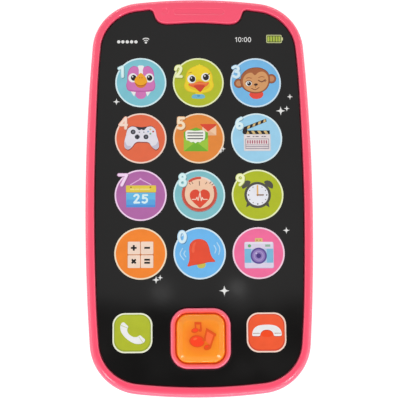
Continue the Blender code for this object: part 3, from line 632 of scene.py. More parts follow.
# ---- rear shell -----------------------------------------------------------------------------
def rear_shell():
    body = Body()
    arc = [(BACK_FILLET - BACK_FILLET * math.sin(math.pi / 2 * i / 14), BACK_FILLET - BACK_FILLET * math.cos(math.pi / 2 * i / 14)) for i in range(15)]
    rings = [(outline(i), z) for i, z in arc]
    rings += [(outline(0), PARTING_Z - 0.55), (outline(0.1), PARTING_Z - 0.35), (outline(0.35), PARTING_Z - 0.15)]
    rings += [(outline(WALL + GAP), PARTING_Z - 0.15), (outline(WALL + GAP), 11.0), (outline(WALL + 1.3), 11.0), (outline(WALL + 1.3), 8.1)]
    rings += [(outline(2.2), 6.9), (outline(2.2), 4.6), (outline(3.0), 2.9), (outline(4.6), FLOOR)]
    back, floor = body.stack(rings)
    back_holes, floor_holes = [], []
    mid_y, half_y = (DOOR_Y0 + DOOR_Y1) / 2, (DOOR_Y1 - DOOR_Y0) / 2
    recess = rounded(0, mid_y, DOOR_X, half_y, DOOR_CORNER, 10)
    mouth, ledge = body.stack([(grown(recess, 0.2), 0.0), (grown(recess, 0.06), 0.06), (recess, 0.2), (recess, DOOR_RECESS)])
    bay_mid, bay_half = (BAY_Y0 + BAY_Y1) / 2, (BAY_Y1 - BAY_Y0) / 2
    bay = rounded(0, bay_mid, BAY_X, bay_half, 1.0, 4)
    bay_mouth, bay_roof = body.stack([(bay, DOOR_RECESS), (bay, BAY_TOP)])
    body.face(bay_roof)
    hole = ellipse(0, DOOR_SCREW_Y, 1.35, n=24)
    screw_mouth, screw_end = body.stack([(hole, DOOR_RECESS), (hole, 8.0)])
    body.face(screw_end)
    body.face(ledge, [bay_mouth, screw_mouth])
    surround = rounded(0, mid_y, DOOR_X + 2.0, half_y + 2.0, DOOR_CORNER + 2.0, 8)
    foot, shelf = body.stack([(surround, FLOOR), (surround, 3.6)])
    shell = rounded(0, bay_mid, BAY_X + BAY_WALL, bay_half + BAY_WALL, 2.5, 4)
    shell_foot, roof = body.stack([(shell, 3.6), (shell, BAY_TOP + BAY_ROOF)])
    body.face(roof)
    post_foot, post_top = body.stack([(ellipse(0, DOOR_SCREW_Y, 3.0, n=24), 3.6), (ellipse(0, DOOR_SCREW_Y, 2.9, n=24), 9.0)])
    body.face(post_top)
    body.face(shelf, [shell_foot, post_foot])
    back_holes.append(mouth)
    floor_holes.append(foot)
    slot_tops = []
    for k in range(-3, 4):
        x = 3.4 * k
        half = math.sqrt(11.0**2 - x * x)
        slot = rounded(x, SPEAKER_Y, 0.8, half - 1.0, 0.79, 8)
        low, high = body.stack([(grown(slot, 0.3), 0.0), (grown(slot, 0.09), 0.09), (slot, 0.3), (slot, FLOOR)])
        back_holes.append(low)
        slot_tops.append(high)
    outer, top_out = body.stack([(ellipse(0, SPEAKER_Y, 15.9, n=64), FLOOR), (ellipse(0, SPEAKER_Y, 15.9, n=64), 5.0)])
    top_in, inner = body.stack([(ellipse(0, SPEAKER_Y, 14.6, n=64), 5.0), (ellipse(0, SPEAKER_Y, 14.6, n=64), FLOOR)])
    body.face(top_out, [top_in])
    body.face(inner, slot_tops)
    floor_holes.append(outer)
    dish = rounded(0, SWITCH_Y, 6.6, 3.2, 1.6, 8)
    slot = rounded(0, SWITCH_Y, 4.5, 1.85, 0.5, 4)
    dish_mouth, dish_floor = body.stack([(grown(dish, 0.2), 0.0), (grown(dish, 0.06), 0.06), (dish, 0.2), (grown(dish, -0.1), 0.8)])
    slot_low, slot_high = body.stack([(slot, 0.8), (slot, FLOOR)])
    body.face(dish_floor, [slot_low])
    back_holes.append(dish_mouth)
    floor_holes.append(slot_high)
    # off and on marks sunk beside the switch: a small ring and a bar
    low_out, low_in = ellipse(-9.6, SWITCH_Y, 1.25, n=36), ellipse(-9.6, SWITCH_Y, 0.8, n=36)
    a, b = body.stack([(low_out, 0.0), (low_out, 0.25)])
    c, d = body.stack([(low_in, 0.25), (low_in, 0.0)])
    body.face(b, [c])
    body.face(d)
    back_holes.append(a)
    bar = rounded(9.6, SWITCH_Y, 0.24, 1.25, 0.2, 4)
    e, f = body.stack([(bar, 0.0), (bar, 0.25)])
    body.face(f)
    back_holes.append(e)
    for x, y in HOUSING_SCREWS:
        bore_mouth, seat = body.stack([(ellipse(x, y, 2.85, n=36), 0.0), (ellipse(x, y, 2.67, n=36), 0.07), (ellipse(x, y, 2.6, n=36), 0.25), (ellipse(x, y, 2.6, n=36), 4.0)])
        hole_low, hole_top = body.stack([(ellipse(x, y, 1.5, n=24), 4.0), (ellipse(x, y, 1.5, n=24), 9.6)])
        body.face(seat, [hole_low])
        boss_foot, boss_top = body.stack([(ellipse(x, y, 3.6, n=24), FLOOR), (ellipse(x, y, 3.4, n=24), 9.6)])
        body.face(boss_top, [hole_top])
        back_holes.append(bore_mouth)
        floor_holes.append(boss_foot)
    body.face(back, back_holes)
    body.face(floor, floor_holes)
    return part(body.finish("rear_shell", PINK), "case", "case_pink", "rear_housing")


def door():
    body = Body()
    mid_y, half_y = (DOOR_Y0 + DOOR_Y1) / 2, (DOOR_Y1 - DOOR_Y0) / 2
    plate = rounded(0, mid_y, DOOR_X - GAP, half_y - GAP, DOOR_CORNER - GAP, 10)
    outer_face, inner_face = body.stack([(grown(plate, -0.3), 0.0), (grown(plate, -0.09), 0.09), (plate, 0.3), (plate, DOOR_THICK)])
    bore = [(2.95, 0.0), (2.77, 0.07), (2.7, 0.25), (2.7, 1.1)]
    bore_mouth, seat = body.stack([(ellipse(0, DOOR_SCREW_Y, r, n=40), z) for r, z in bore])
    hole_low, hole_top = body.stack([(ellipse(0, DOOR_SCREW_Y, 1.3, n=24), 1.1), (ellipse(0, DOOR_SCREW_Y, 1.3, n=24), DOOR_THICK)])
    body.face(seat, [hole_low])
    outer_holes = [bore_mouth]
    for k in range(3):
        groove = rounded(0, 20.5 + 2.6 * k, 6.5, 0.6, 0.55, 8)
        low, high = body.stack([(grown(groove, 0.12), 0.0), (grown(groove, 0.02), 0.07), (grown(groove, -0.12), 0.32), (grown(groove, -0.3), 0.46), (grown(groove, -0.45), 0.5)])
        body.face(high)
        outer_holes.append(low)
    body.face(outer_face, outer_holes)
    body.face(inner_face, [hole_top])
    return part(body.finish("door_panel", PINK, (0, mid_y, 0)), "door", "case_pink", "battery_door")


# ---- panel and home button --------------------------------------------------------------------
def face_panel():
    body = Body()
    edge = grown(opening(), -GAP)
    rounding = [(0.0, 0.3), (0.03, 0.17), (0.1, 0.07), (0.2, 0.015), (0.3, 0.0)]
    under, top = body.stack([(edge, PANEL_LOW)] + [(grown(edge, -i), PANEL_TOP - d) for i, d in rounding])
    hole = [(ring_loop(-GAP), PANEL_LOW)] + [(ring_loop(-GAP - i), PANEL_TOP - d) for i, d in rounding]
    hole_low, hole_top = body.stack(hole)
    body.face(under, [hole_low])
    body.face(top, [hole_top])
    return part(body.finish("face_panel", PANEL), "case", "panel_print", "screen_panel")


def button_loop(inset):
    half = RING_HALF - RING_WIDTH - BUTTON_GAP - inset
    return rounded(0, BUTTON_Y, half, half, max(0.6, RING_CORNER - RING_WIDTH - BUTTON_GAP - inset), 16)


def home_cap():
    body = Body()
    top = CAP_FLAT_Z
    crown = [(2.75, top), (2.5, top - 0.01), (2.25, top - 0.05), (2.05, top - 0.12), (1.5, top - 0.34), (0.95, top - 0.6), (0.6, top - 0.8), (0.33, top - 1.04), (0.14, top - 1.32), (0.03, top - 1.58), (-0.03, top - 1.66), (-0.16, top - 1.74), (-0.23, top - 1.85), (-0.23, top - 2.5)]
    rings = [(button_loop(i), z) for i, z in crown[9:]]
    body.slot = 1
    rings += [(button_loop(-0.23), FLANGE_TOP), (button_loop(-FLANGE_OUT), FLANGE_TOP), (button_loop(-FLANGE_OUT), FLANGE_LOW), (button_loop(1.5), FLANGE_LOW), (button_loop(1.5), 18.6)]
    edge, ceiling = body.stack(rings)
    body.slot = 0
    upper = [body.loop(button_loop(i), z) for i, z in crown[:9]] + [edge]
    for a, b in zip(upper, upper[1:]):
        body.wall(a, b)
    body.face(upper[0])
    body.slot = 1
    stem_root, stem_tip = body.stack([(ellipse(0, BUTTON_Y, 2.9, n=32), 18.6), (ellipse(0, BUTTON_Y, 2.6, n=32), FLANGE_LOW)])
    body.face(stem_tip)
    body.face(ceiling, [stem_root])
    return part(body.finish("home_cap", [ORANGE, ORANGE_SKIRT], (0, BUTTON_Y, FLANGE_LOW)), "home_button", "button_orange", "home_button")


def silicone_dome():
    """The soft dome under the home button, made here as a fixed shape; the real dome gives way as the button goes down.
    """
    low, high = BOARD_TOP + GAP, FLANGE_LOW - GAP
    outer = [(6.4, low), (6.4, low + 0.5), (6.3, low + 0.6), (5.0, low + 0.68), (4.75, low + 0.78), (3.6, high - 0.75), (3.45, high - 0.6), (3.0, high - 0.1), (2.85, high), (2.3, high)]
    inner = [(2.2, high - 0.9), (2.9, high - 1.3), (4.2, low + 0.35), (4.6, low)]
    body = Body()
    _, crest = body.stack([(ellipse(0, BUTTON_Y, r, n=56), z) for r, z in outer])
    ceiling, _ = body.stack([(ellipse(0, BUTTON_Y, r, n=56), z) for r, z in inner])
    body.face(crest)
    body.face(ceiling)
    body.bm.verts.ensure_lookup_table()
    n = 56
    foot, lip = list(body.bm.verts)[:n], list(body.bm.verts)[-n:]
    body.wall(lip, foot)
    obj = part(body.finish("silicone_dome", SILICONE), "case", "silicone", "home_button_dome")
    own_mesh(obj)
    return obj


# ---- screws, cells, springs -------------------------------------------------------------------
def screw(name, node, rides, x, y, z_head, head_r, head_h, shank_r, length, reach):
    """A pan-head screw, head down, with a cross recess."""
    body = Body()
    n = 40
    seat = z_head + head_h
    head = [(0.80, 0.0), (0.90, 0.04), (0.97, 0.16), (1.0, 0.4), (1.0, 1.0)]
    rings = [(ellipse(x, y, head_r * k, n=n), z_head + head_h * d) for k, d in head]
    turns = int(length / 0.35)
    rings += [(ellipse(x, y, shank_r * (1.0 if i % 2 else 0.82), n=n), seat + 0.1 + (length - 0.9) * i / turns) for i in range(turns + 1)]
    rings += [(ellipse(x, y, shank_r * 0.3, n=n), seat + length)]
    bottom, tip = body.stack(rings)
    mark = cross(x, y, reach, reach * 0.22)
    mouth, end = body.stack([(mark, z_head), (grown(mark, -0.08), z_head + head_h * 0.6)])
    body.face(bottom, [mouth])
    body.face(end)
    body.face(tip)
    return part(body.finish(name, STEEL, (x, y, z_head), 30.0), rides, "steel", node)


def cell(name, node, x, tip_y, towards):
    """An AAA cell along Y, its tip at tip_y: metal base, sleeve with a pale band, metal cap."""
    length = CELL_LENGTH
    profile = [(2.4, -length + 0.12), (3.8, -length + 0.02), (4.5, -length), (4.75, -length + 0.06), (4.86, -length + 0.25)]
    profile += [(5.0, -length + 0.45), (5.2, -length + 0.62), (CELL_RADIUS, -length + 0.9), (CELL_RADIUS, -length + 8.0), (CELL_RADIUS, -9.5), (CELL_RADIUS, -8.7), (CELL_RADIUS, -1.75)]
    profile += [(5.17, -1.5), (4.95, -1.3), (4.7, -1.2), (3.6, -1.12), (2.1, -1.05), (1.9, -0.95), (1.85, -0.2), (1.75, -0.06), (1.5, 0.0)]
    turn = Matrix.Translation(Vector((x, tip_y, CELL_Z)) * MM) @ Matrix.Rotation(math.radians(-90.0 * towards), 4, "X")
    body = lathe([(0, 0), *profile, (0, 0)], 56, (0, 0), turn, bands=((0, 2), (5, 0), (9, 1), (10, 0), (14, 2)))
    return part(body.finish(name, [CELL, CELL_BAND, NICKEL], (x, tip_y, CELL_Z)), "case", "cell_sleeve", node)


def tube(name, route, radius, material, per=8):
    """A round wire along the route, closed at both ends, as a mesh."""
    points = [Vector(p) for p in route]
    bm = bmesh.new()
    loops = []
    up = Vector((0, 0, 1))
    for i, p in enumerate(points):
        way = (points[min(i + 1, len(points) - 1)] - points[max(i - 1, 0)]).normalized()
        side = way.cross(up)
        side = (side if side.length > 1e-3 else way.cross(Vector((1, 0, 0)))).normalized()
        up = side.cross(way).normalized()
        loops.append([bm.verts.new((p + (side * math.cos(a) + up * math.sin(a)) * radius) * MM) for a in (2 * math.pi * k / per for k in range(per))])
    for a, b in zip(loops, loops[1:]):
        for k in range(per):
            bm.faces.new((a[k], a[(k + 1) % per], b[(k + 1) % per], b[k]))
    bm.faces.new(loops[0])
    bm.faces.new(loops[-1])
    body = Body()
    body.bm.free()
    body.bm = bm
    return body.finish(name, material)


def spring(name, node, x, wide_y, narrow_y):
    turns, per_turn, wire = 3.2, 28, 0.3
    n = int(turns * per_turn)
    start, end = wide_y + math.copysign(wire + GAP, narrow_y - wide_y), narrow_y - math.copysign(wire + GAP, narrow_y - wide_y)
    route = []
    for i in range(n + 1):
        t = i / n
        r = 3.7 - 1.5 * t
        a = 2 * math.pi * turns * t
        route.append((x + r * math.cos(a), start + (end - start) * t, CELL_Z + r * math.sin(a)))
    return part(tube(name, route, wire, STEEL, 10), "case", "steel", node)


# ---- print on the panel -------------------------------------------------------------------------
def area(colour, loop, *holes):
    return [(colour, loop, holes)]


def line(colour, points, width, closed=False):
    """A stroke with round joints and ends, as overlapping pieces of one colour."""
    shapes = []
    half = width / 2
    pairs = list(zip(points, points[1:])) + ([(points[-1], points[0])] if closed else [])
    for (x1, y1), (x2, y2) in pairs:
        d = math.hypot(x2 - x1, y2 - y1) or 1.0
        nx, ny = -(y2 - y1) / d * half, (x2 - x1) / d * half
        shapes.append((colour, [(x1 - nx, y1 - ny), (x2 - nx, y2 - ny), (x2 + nx, y2 + ny), (x1 + nx, y1 + ny)], ()))
    for k, (x, y) in enumerate(points):
        turn = 7.0 * (k % 5)
        shapes.append((colour, ellipse(x, y, half, n=14, turn=turn), ()))
    return shapes


def moved(shapes, dx, dy, colour=None):
    shift = lambda loop: [(x + dx, y + dy) for x, y in loop]
    return [(colour or made, shift(loop), tuple(shift(h) for h in holes)) for made, loop, holes in shapes]


def mirrored(points):
    return [(-x, y) for x, y in reversed(points)]


def printed(name, centre, shapes, rides="case", slot="panel_print", low=PANEL_TOP - 0.12, top=PANEL_TOP + 0.02):
    """One thin closed patch of print: overlapping shapes are split into flat regions, the last drawn on top."""
    verts, edges = [], []
    for _, loop, holes in shapes:
        for ring in (loop, *holes):
            base = len(verts)
            verts += [Vector(p) for p in ring]
            edges += [(base + i, base + (i + 1) % len(ring)) for i in range(len(ring))]
    made = geometry.delaunay_2d_cdt(verts, edges, [], 0, 2e-4)
    points = np.array([tuple(v) for v in made[0]])
    tris = np.array([tuple(t) for t in made[2]])
    centres = points[tris].mean(axis=1)
    a, b, c = points[tris[:, 0]], points[tris[:, 1]], points[tris[:, 2]]
    size = np.abs((b[:, 0] - a[:, 0]) * (c[:, 1] - a[:, 1]) - (c[:, 0] - a[:, 0]) * (b[:, 1] - a[:, 1]))
    colour_of = np.full(len(tris), -1)
    materials = []
    for made_of, loop, holes in shapes:
        if made_of is not None and made_of not in materials:
            materials.append(made_of)
        hit = inside_all(centres, loop)
        for hole in holes:
            hit &= ~inside_all(centres, hole)
        colour_of[hit] = -1 if made_of is None else materials.index(made_of)
    kept = (colour_of >= 0) & (size > 1e-8)
    bm = bmesh.new()
    highs, lows = {}, {}
    count = {}
    for tri, slot_index in zip(tris[kept], colour_of[kept]):
        tri = [int(i) for i in tri]
        for i in tri:
            if i not in highs:
                x, y = points[i]
                highs[i] = bm.verts.new((x * MM, y * MM, top * MM))
                lows[i] = bm.verts.new((x * MM, y * MM, low * MM))
        bm.faces.new([highs[i] for i in tri]).material_index = int(slot_index)
        bm.faces.new([lows[i] for i in reversed(tri)]).material_index = int(slot_index)
        for i, j in ((0, 1), (1, 2), (2, 0)):
            count.setdefault(frozenset((tri[i], tri[j])), []).append((tri[i], tri[j], int(slot_index)))
    for uses in count.values():
        if len(uses) == 1:
            i, j, slot_index = uses[0]
            bm.faces.new((highs[j], highs[i], lows[i], lows[j])).material_index = slot_index
    mesh = bpy.data.meshes.new(name)
    bmesh.ops.recalc_face_normals(bm, faces=bm.faces)
    if bm.calc_volume(signed=True) < 0:
        bmesh.ops.reverse_faces(bm, faces=bm.faces)
    bm.to_mesh(mesh)
    bm.free()
    mesh.set_sharp_from_angle(angle=math.radians(30))
    for made_of in materials:
        mesh.materials.append(made_of)
    obj = bpy.data.objects.new(name, mesh)
    obj.location = (centre[0] * MM, centre[1] * MM, 0.0)
    bpy.context.scene.collection.objects.link(obj)
    return part(obj, rides, slot)


WHITE_INK = ink(246, 246, 246)
DARK = ink(34, 28, 30)


def eye(x, y, white, black, look=(0.2, -0.1)):
    px, py = x + look[0], y + look[1]
    return (
        area(WHITE_INK, ellipse(x, y, white, white * 1.04))
        + area(DARK, ellipse(px, py, black, black * 1.08))
        + area(WHITE_INK, ellipse(px - black * 0.35, py + black * 0.4, black * 0.24))
    )


def chick():
    coat, shade = ink(218, 122, 190), ink(198, 98, 170)
    right = [(1.3, 6.1), (2.7, 6.5), (4.2, 5.5), (5.0, 3.2), (5.1, 0.9), (5.5, -1.3), (4.9, -3.0), (2.6, -3.6)]
    head = smooth([(0, 5.7)] + right + [(0, -3.7)] + [(-x, y) for x, y in reversed(right)], 0.5)
    wing = [(1.75, -3.5), (3.95, -3.2), (2.5, -5.45)]
    shapes = area(WHITE_INK, wing) + area(WHITE_INK, mirrored(wing))
    shapes += area(coat, smooth([(0, -2.6), (1.8, -3.6), (2.0, -5.0), (1.2, -6.1), (-1.2, -6.1), (-2.0, -5.0), (-1.8, -3.6)], 0.4))
    shapes += area(shade, head) + area(coat, smooth([(x * 0.955, y * 0.95 + 0.1) for x, y in head[::3]], 0.5))
    shapes += area(shade, smooth([(-4.6, -2.8), (-2.4, -3.1), (0, -3.15), (2.4, -3.1), (4.6, -2.8), (2.6, -3.55), (0, -3.7), (-2.6, -3.55)], 0.5))
    shapes += area(WHITE_INK, smooth([(-1.1, 6.5), (0, 6.7), (1.1, 6.5), (0.75, 5.0), (0.62, 3.2), (-0.62, 3.2), (-0.75, 5.0)], 0.5))
    shapes += eye(-3.0, 1.85, 1.7, 1.05, (0.3, 0.0)) + eye(3.2, 1.8, 1.7, 1.05, (0.1, 0.0))
    shapes += area(ink(222, 126, 40), smooth([(-2.2, 0.2), (0, -0.4), (2.2, 0.2), (1.9, -1.1), (0.9, -1.95), (-0.9, -1.95), (-1.9, -1.1)], 0.4))
    shapes += area(ink(250, 174, 32), smooth([(0, 3.75), (-1.25, 2.7), (-2.3, 1.1), (-2.35, -0.2), (-1.3, -0.85), (0, -1.15), (1.3, -0.85), (2.35, -0.2), (2.3, 1.1), (1.25, 2.7)], 0.4))
    shapes += line(ink(168, 74, 32), smooth([(-2.2, -0.15), (-1.2, -0.95), (0, -1.25), (1.2, -0.95), (2.2, -0.15)], 0.5, closed=False), 0.24)
    shapes += area(ink(206, 128, 30), ellipse(-0.45, 1.9, 0.2, 0.3)) + area(ink(206, 128, 30), ellipse(0.45, 1.9, 0.2, 0.3))
    return shapes


def duckling():
    down, warm, bill, low = ink(247, 220, 40), ink(238, 196, 40), ink(242, 110, 50), ink(214, 66, 44)
    shapes = area(down, smooth([(0.3, -3.2), (-0.9, -3.8), (-1.1, -5.0), (0.2, -5.3), (1.5, -5.0), (1.4, -3.8)], 0.4))
    shapes += area(warm, smooth([(0.3, 6.7), (-1.6, 6.3), (-3.6, 5.0), (-4.7, 2.8), (-4.9, 0.4), (-5.4, -1.4), (-4.4, -3.1), (-2.0, -3.9), (0.5, -4.1), (3.0, -3.9), (5.0, -3.0), (5.9, -1.2), (5.5, 0.9), (5.3, 3.1), (4.2, 5.1), (2.3, 6.4)], 0.5))
    shapes += area(down, smooth([(-0.7, 6.0), (-0.7, 6.8), (-0.1, 6.75), (0.5, 7.3), (1.0, 6.8), (1.6, 6.9), (1.5, 6.0)], 0.35))
    shapes += area(down, smooth([(0.3, 6.5), (-1.6, 6.1), (-3.4, 4.8), (-4.45, 2.7), (-4.6, 0.4), (-5.1, -1.3), (-4.2, -2.8), (-2.0, -3.6), (0.5, -3.8), (3.0, -3.6), (4.8, -2.8), (5.6, -1.2), (5.25, 0.8), (5.0, 3.0), (4.0, 4.9), (2.2, 6.2)], 0.5))
    shapes += area(warm, ellipse(0.3, -1.0, 4.1, 2.2))
    shapes += eye(-2.5, 1.4, 1.6, 1.1, (0.3, 0.0)) + eye(2.75, 2.1, 1.6, 1.15, (0.15, 0.05))
    shapes += line(DARK, [(3.7, 3.1), (4.4, 3.6)], 0.3) + line(ink(200, 150, 30), [(-3.6, 3.7), (-2.5, 4.1)], 0.32)
    shapes += area(bill, smooth([(-3.8, -0.7), (-2.6, -0.3), (-1.2, -0.1), (0.2, 0.45), (1.2, 0.45), (2.6, 0.0), (4.1, 0.15), (3.3, -1.2), (1.9, -2.0), (0.7, -2.6), (-0.7, -2.2), (-2.4, -1.7)], 0.4))
    shapes += area(low, smooth([(-1.7, -1.3), (0.4, -0.9), (2.5, -1.3), (1.7, -2.6), (0.7, -3.7), (-0.4, -2.8)], 0.4))
    shapes += line(ink(250, 150, 90), smooth([(-2.9, -0.75), (0.3, -0.25), (3.3, -0.5)], 0.5, closed=False), 0.22)
    bow = ink(116, 190, 218)
    shapes += area(bow, smooth([(0.2, -4.6), (-1.0, -4.5), (-2.3, -5.0), (-2.5, -5.9), (-1.2, -6.2), (0.2, -6.3), (1.6, -6.2), (2.5, -5.8), (2.2, -4.9), (1.2, -4.5)], 0.35))
    shapes += area(ink(84, 160, 200), ellipse(0.1, -5.1, 0.6, 0.5))
    return shapes


def monkey():
    edge, fur, tan, inner, dark = ink(122, 66, 44), ink(172, 98, 58), ink(222, 160, 104), ink(204, 142, 100), ink(62, 32, 24)
    shapes = []
    for x, y in ((-6.35, -0.3), (6.0, 1.55)):
        shapes += area(edge, ellipse(x, y, 1.85)) + area(fur, ellipse(x, y, 1.65)) + area(inner, ellipse(x, y, 1.1))
    shirt = ink(240, 76, 58)
    shapes += area(shirt, smooth([(-2.5, -4.6), (-1.3, -3.4), (0.3, -3.6), (1.9, -3.2), (2.9, -4.3), (2.3, -5.7), (0.3, -6.4), (-1.6, -5.9)], 0.4))
    skull = [(-0.2, 6.0), (-2.9, 5.3), (-4.9, 3.6), (-5.75, 1.2), (-5.4, -1.2), (-3.8, -3.1), (-0.9, -4.1), (2.2, -3.8), (4.3, -2.3), (5.3, -0.1), (5.4, 2.3), (4.6, 4.3), (2.5, 5.7)]
    shapes += area(edge, smooth(skull, 0.5)) + area(fur, smooth([(x * 0.965, y * 0.96 + 0.03) for x, y in skull], 0.5))
    shapes += area(tan, smooth([(-0.2, 2.9), (-1.4, 3.9), (-3.3, 3.4), (-4.6, 1.7), (-4.75, -0.4), (-3.9, -2.3), (-2.0, -3.35), (0.3, -3.6), (2.5, -3.1), (4.1, -1.6), (4.8, 0.5), (4.5, 2.9), (3.1, 4.3), (1.1, 4.0)], 0.5))
    shapes += area(WHITE_INK, ellipse(-2.6, -0.35, 1.15, 1.0, 10)) + area(DARK, ellipse(-2.45, -0.4, 0.78, 0.82)) + area(WHITE_INK, ellipse(-2.7, -0.1, 0.22))
    shapes += line(edge, smooth([(-3.8, 0.2), (-2.6, 0.85), (-1.4, 0.3)], 0.5, closed=False), 0.26)
    # the other eye winks
    shapes += line(edge, smooth([(1.1, 0.9), (2.3, 0.35), (3.7, 1.15)], 0.5, closed=False), 0.42)
    shapes += line(edge, [(3.2, 0.7), (3.8, 0.45)], 0.22) + line(edge, [(3.5, 0.95), (4.1, 0.85)], 0.22)
    shapes += line(fur, smooth([(1.2, 2.0), (2.3, 2.4), (3.3, 2.2)], 0.5, closed=False), 0.3) + line(fur, smooth([(-3.4, 1.7), (-2.5, 2.0), (-1.6, 1.7)], 0.5, closed=False), 0.3)
    shapes += area(dark, ellipse(0.1, -0.75, 0.75, 0.45, 8))
    shapes += line(edge, smooth([(-1.6, -2.2), (-0.2, -2.75), (1.3, -1.9)], 0.5, closed=False), 0.28)
    shapes += line(edge, [(0.05, -1.2), (-0.05, -1.9)], 0.18)
    return shapes


def gamepad():
    pale, shade, grey, deep = ink(236, 232, 242), ink(150, 74, 66), ink(112, 112, 124), ink(44, 44, 54)
    shell = [(-4.7, 3.7), (-3.4, 4.5), (-1.5, 4.2), (0.2, 4.05), (1.9, 4.2), (3.9, 4.5), (5.2, 3.7), (5.9, 1.1), (6.7, -1.8), (6.6, -3.6), (5.7, -4.3), (4.5, -3.6), (2.9, -1.6), (0.6, -1.35), (-1.8, -1.55), (-3.4, -3.4), (-4.7, -4.3), (-5.8, -3.7), (-6.1, -1.8), (-5.5, 1.1)]
    body = smooth(shell, 0.5)
    shapes = area(shade, [(x + 0.12, y - 0.4) for x, y in body]) + area(shade, [(x, y + 0.28) for x, y in body])
    shapes += area(pale, body)
    shapes += area(ink(204, 200, 218), smooth([(-5.9, -1.2), (-4.9, -2.8), (-3.6, -3.0), (-4.7, -4.2), (-5.7, -3.6)], 0.4))
    shapes += area(ink(204, 200, 218), smooth([(6.4, -1.2), (5.5, -2.6), (4.2, -3.0), (5.6, -4.2), (6.5, -3.5)][::-1], 0.4))
    shapes += area(deep, smooth([(-1.8, 4.3), (0.3, 4.15), (2.3, 4.3), (1.7, 3.6), (1.2, 3.1), (0.3, 3.4), (-0.6, 3.1), (-1.2, 3.6)], 0.4))
    for x, y in ((-2.85, 2.45), (1.95, 0.55)):
        shapes += area(deep, ellipse(x, y, 0.92)) + area(grey, ellipse(x + 0.05, y + 0.05, 0.5))
    shapes += area(grey, ellipse(-1.3, 0.55, 0.95)) + area(deep, rounded(-1.3, 0.55, 0.8, 0.3, 0.1, 2)) + area(deep, rounded(-1.3, 0.55, 0.3, 0.8, 0.1, 2))
    for x, y, colour in ((3.6, 3.4, (226, 190, 110)), (4.65, 2.6, (196, 74, 66)), (2.75, 2.6, (150, 176, 210)), (3.6, 1.75, (130, 176, 120))):
        shapes += area(ink(*colour), ellipse(x, y, 0.36))
    for x in (-0.55, 1.15):
        shapes += area(grey, ellipse(x, 2.35, 0.24))
    return shapes


def envelopes():
    green, dark_green, paper, lines = ink(162, 206, 60), ink(118, 184, 44), ink(250, 250, 240), ink(46, 46, 56)
    red, cream = ink(228, 74, 46), ink(250, 208, 170)
    shapes = area(cream, [(1.4, 1.1), (6.6, 1.1), (6.6, 4.9), (1.4, 4.9)])
    shapes += area(ink(240, 188, 148), [(1.4, 1.1), (4.0, 3.0), (6.6, 1.1)])
    shapes += area(red, [(0.5, 5.5), (0.9, 4.9), (3.5, 2.6), (6.4, 4.7), (6.7, 5.5)])
    shapes += area(dark_green, [(-5.6, 2.4), (-0.9, 4.2), (3.5, 2.2), (3.5, -3.0), (-5.6, -3.0)])
    shapes += area(paper, smooth([(-4.8, 2.7), (-1.2, 2.85), (2.2, 2.7), (2.35, 0.4), (2.0, -0.7), (1.2, -0.95), (0.5, -1.6), (-0.4, -1.35), (-1.2, -1.9), (-2.0, -1.35), (-2.9, -1.6), (-3.6, -0.95), (-4.6, -0.7), (-4.9, 0.4)], 0.4))
    shapes += area(green, [(-5.6, 0.3), (-4.7, -0.6), (-3.6, -1.1), (-2.7, -1.7), (-1.1, -2.3), (0.5, -1.7), (1.3, -1.1), (2.4, -0.6), (3.5, 0.3), (3.5, -5.0), (-5.6, -5.0)])
    for y in (2.05, 0.95, -0.15):
        shapes += line(lines, [(-4.1, y), (1.5, y)], 0.38)
    shapes += area(dark_green, [(-5.6, -5.0), (-2.4, -2.3), (-1.1, -1.9), (0.3, -2.3), (3.5, -5.0)])
    return shapes


def clapper():
    wood, slate, lines = ink(222, 190, 126), ink(238, 226, 226), ink(150, 140, 156)
    shapes = area(ink(196, 214, 230), rounded(0.25, -1.65, 5.1, 3.3, 0.3, 3)) + area(slate, rounded(0.2, -1.6, 4.9, 3.15, 0.3, 3))
    for x, w in ((-3.1, 0.9), (-1.1, 0.35), (0.2, 0.9), (2.2, 0.35), (3.1, 0.5)):
        shapes += line(ink(112, 100, 116), [(x - w / 2, 0.65), (x + w / 2, 0.65)], 0.34)
    for y in (-0.25, -2.55, -3.2, -3.95):
        shapes += line(lines, [(-4.1, y), (4.5, y)], 0.22 if y > -3 else 0.3)
    for x in (-4.1, 4.5):
        shapes += line(lines, [(x, -0.25), (x, -3.95)], 0.22)
    marks = ink(176, 66, 98)
    for k in range(9):
        shapes += line(marks, [(-3.3 + 0.87 * k, -0.95), (-3.3 + 0.87 * k, -1.9)], 0.42)
    shapes += area(DARK, [(-4.9, 1.55), (5.0, 1.55), (5.0, 3.0), (-4.9, 3.0)])
    for k in range(4):
        x = -3.7 + 2.35 * k
        shapes += area(wood, [(x, 1.67), (x + 1.1, 1.67), (x + 0.4, 2.88), (x - 0.7, 2.88)])
    # raised stick
    c, s = math.cos(math.radians(22)), math.sin(math.radians(22))
    place = lambda x, y: (-4.6 + x * c - y * s, 2.95 + x * s + y * c)
    shapes += area(DARK, [place(-0.2, 0.0), place(9.2, 0.0), place(9.4, 1.2), place(-0.2, 1.3)])
    for k in range(4):
        x = 1.2 + 2.2 * k
        shapes += area(wood, [place(x, 0.12), place(x + 1.0, 0.12), place(min(9.2, x + 1.7), 1.1), place(x + 0.7, 1.1)])
    shapes += area(DARK, smooth([(-5.1, 1.8), (-3.7, 2.0), (-3.4, 3.2), (-4.0, 4.0), (-4.9, 3.6)], 0.4))
    return shapes


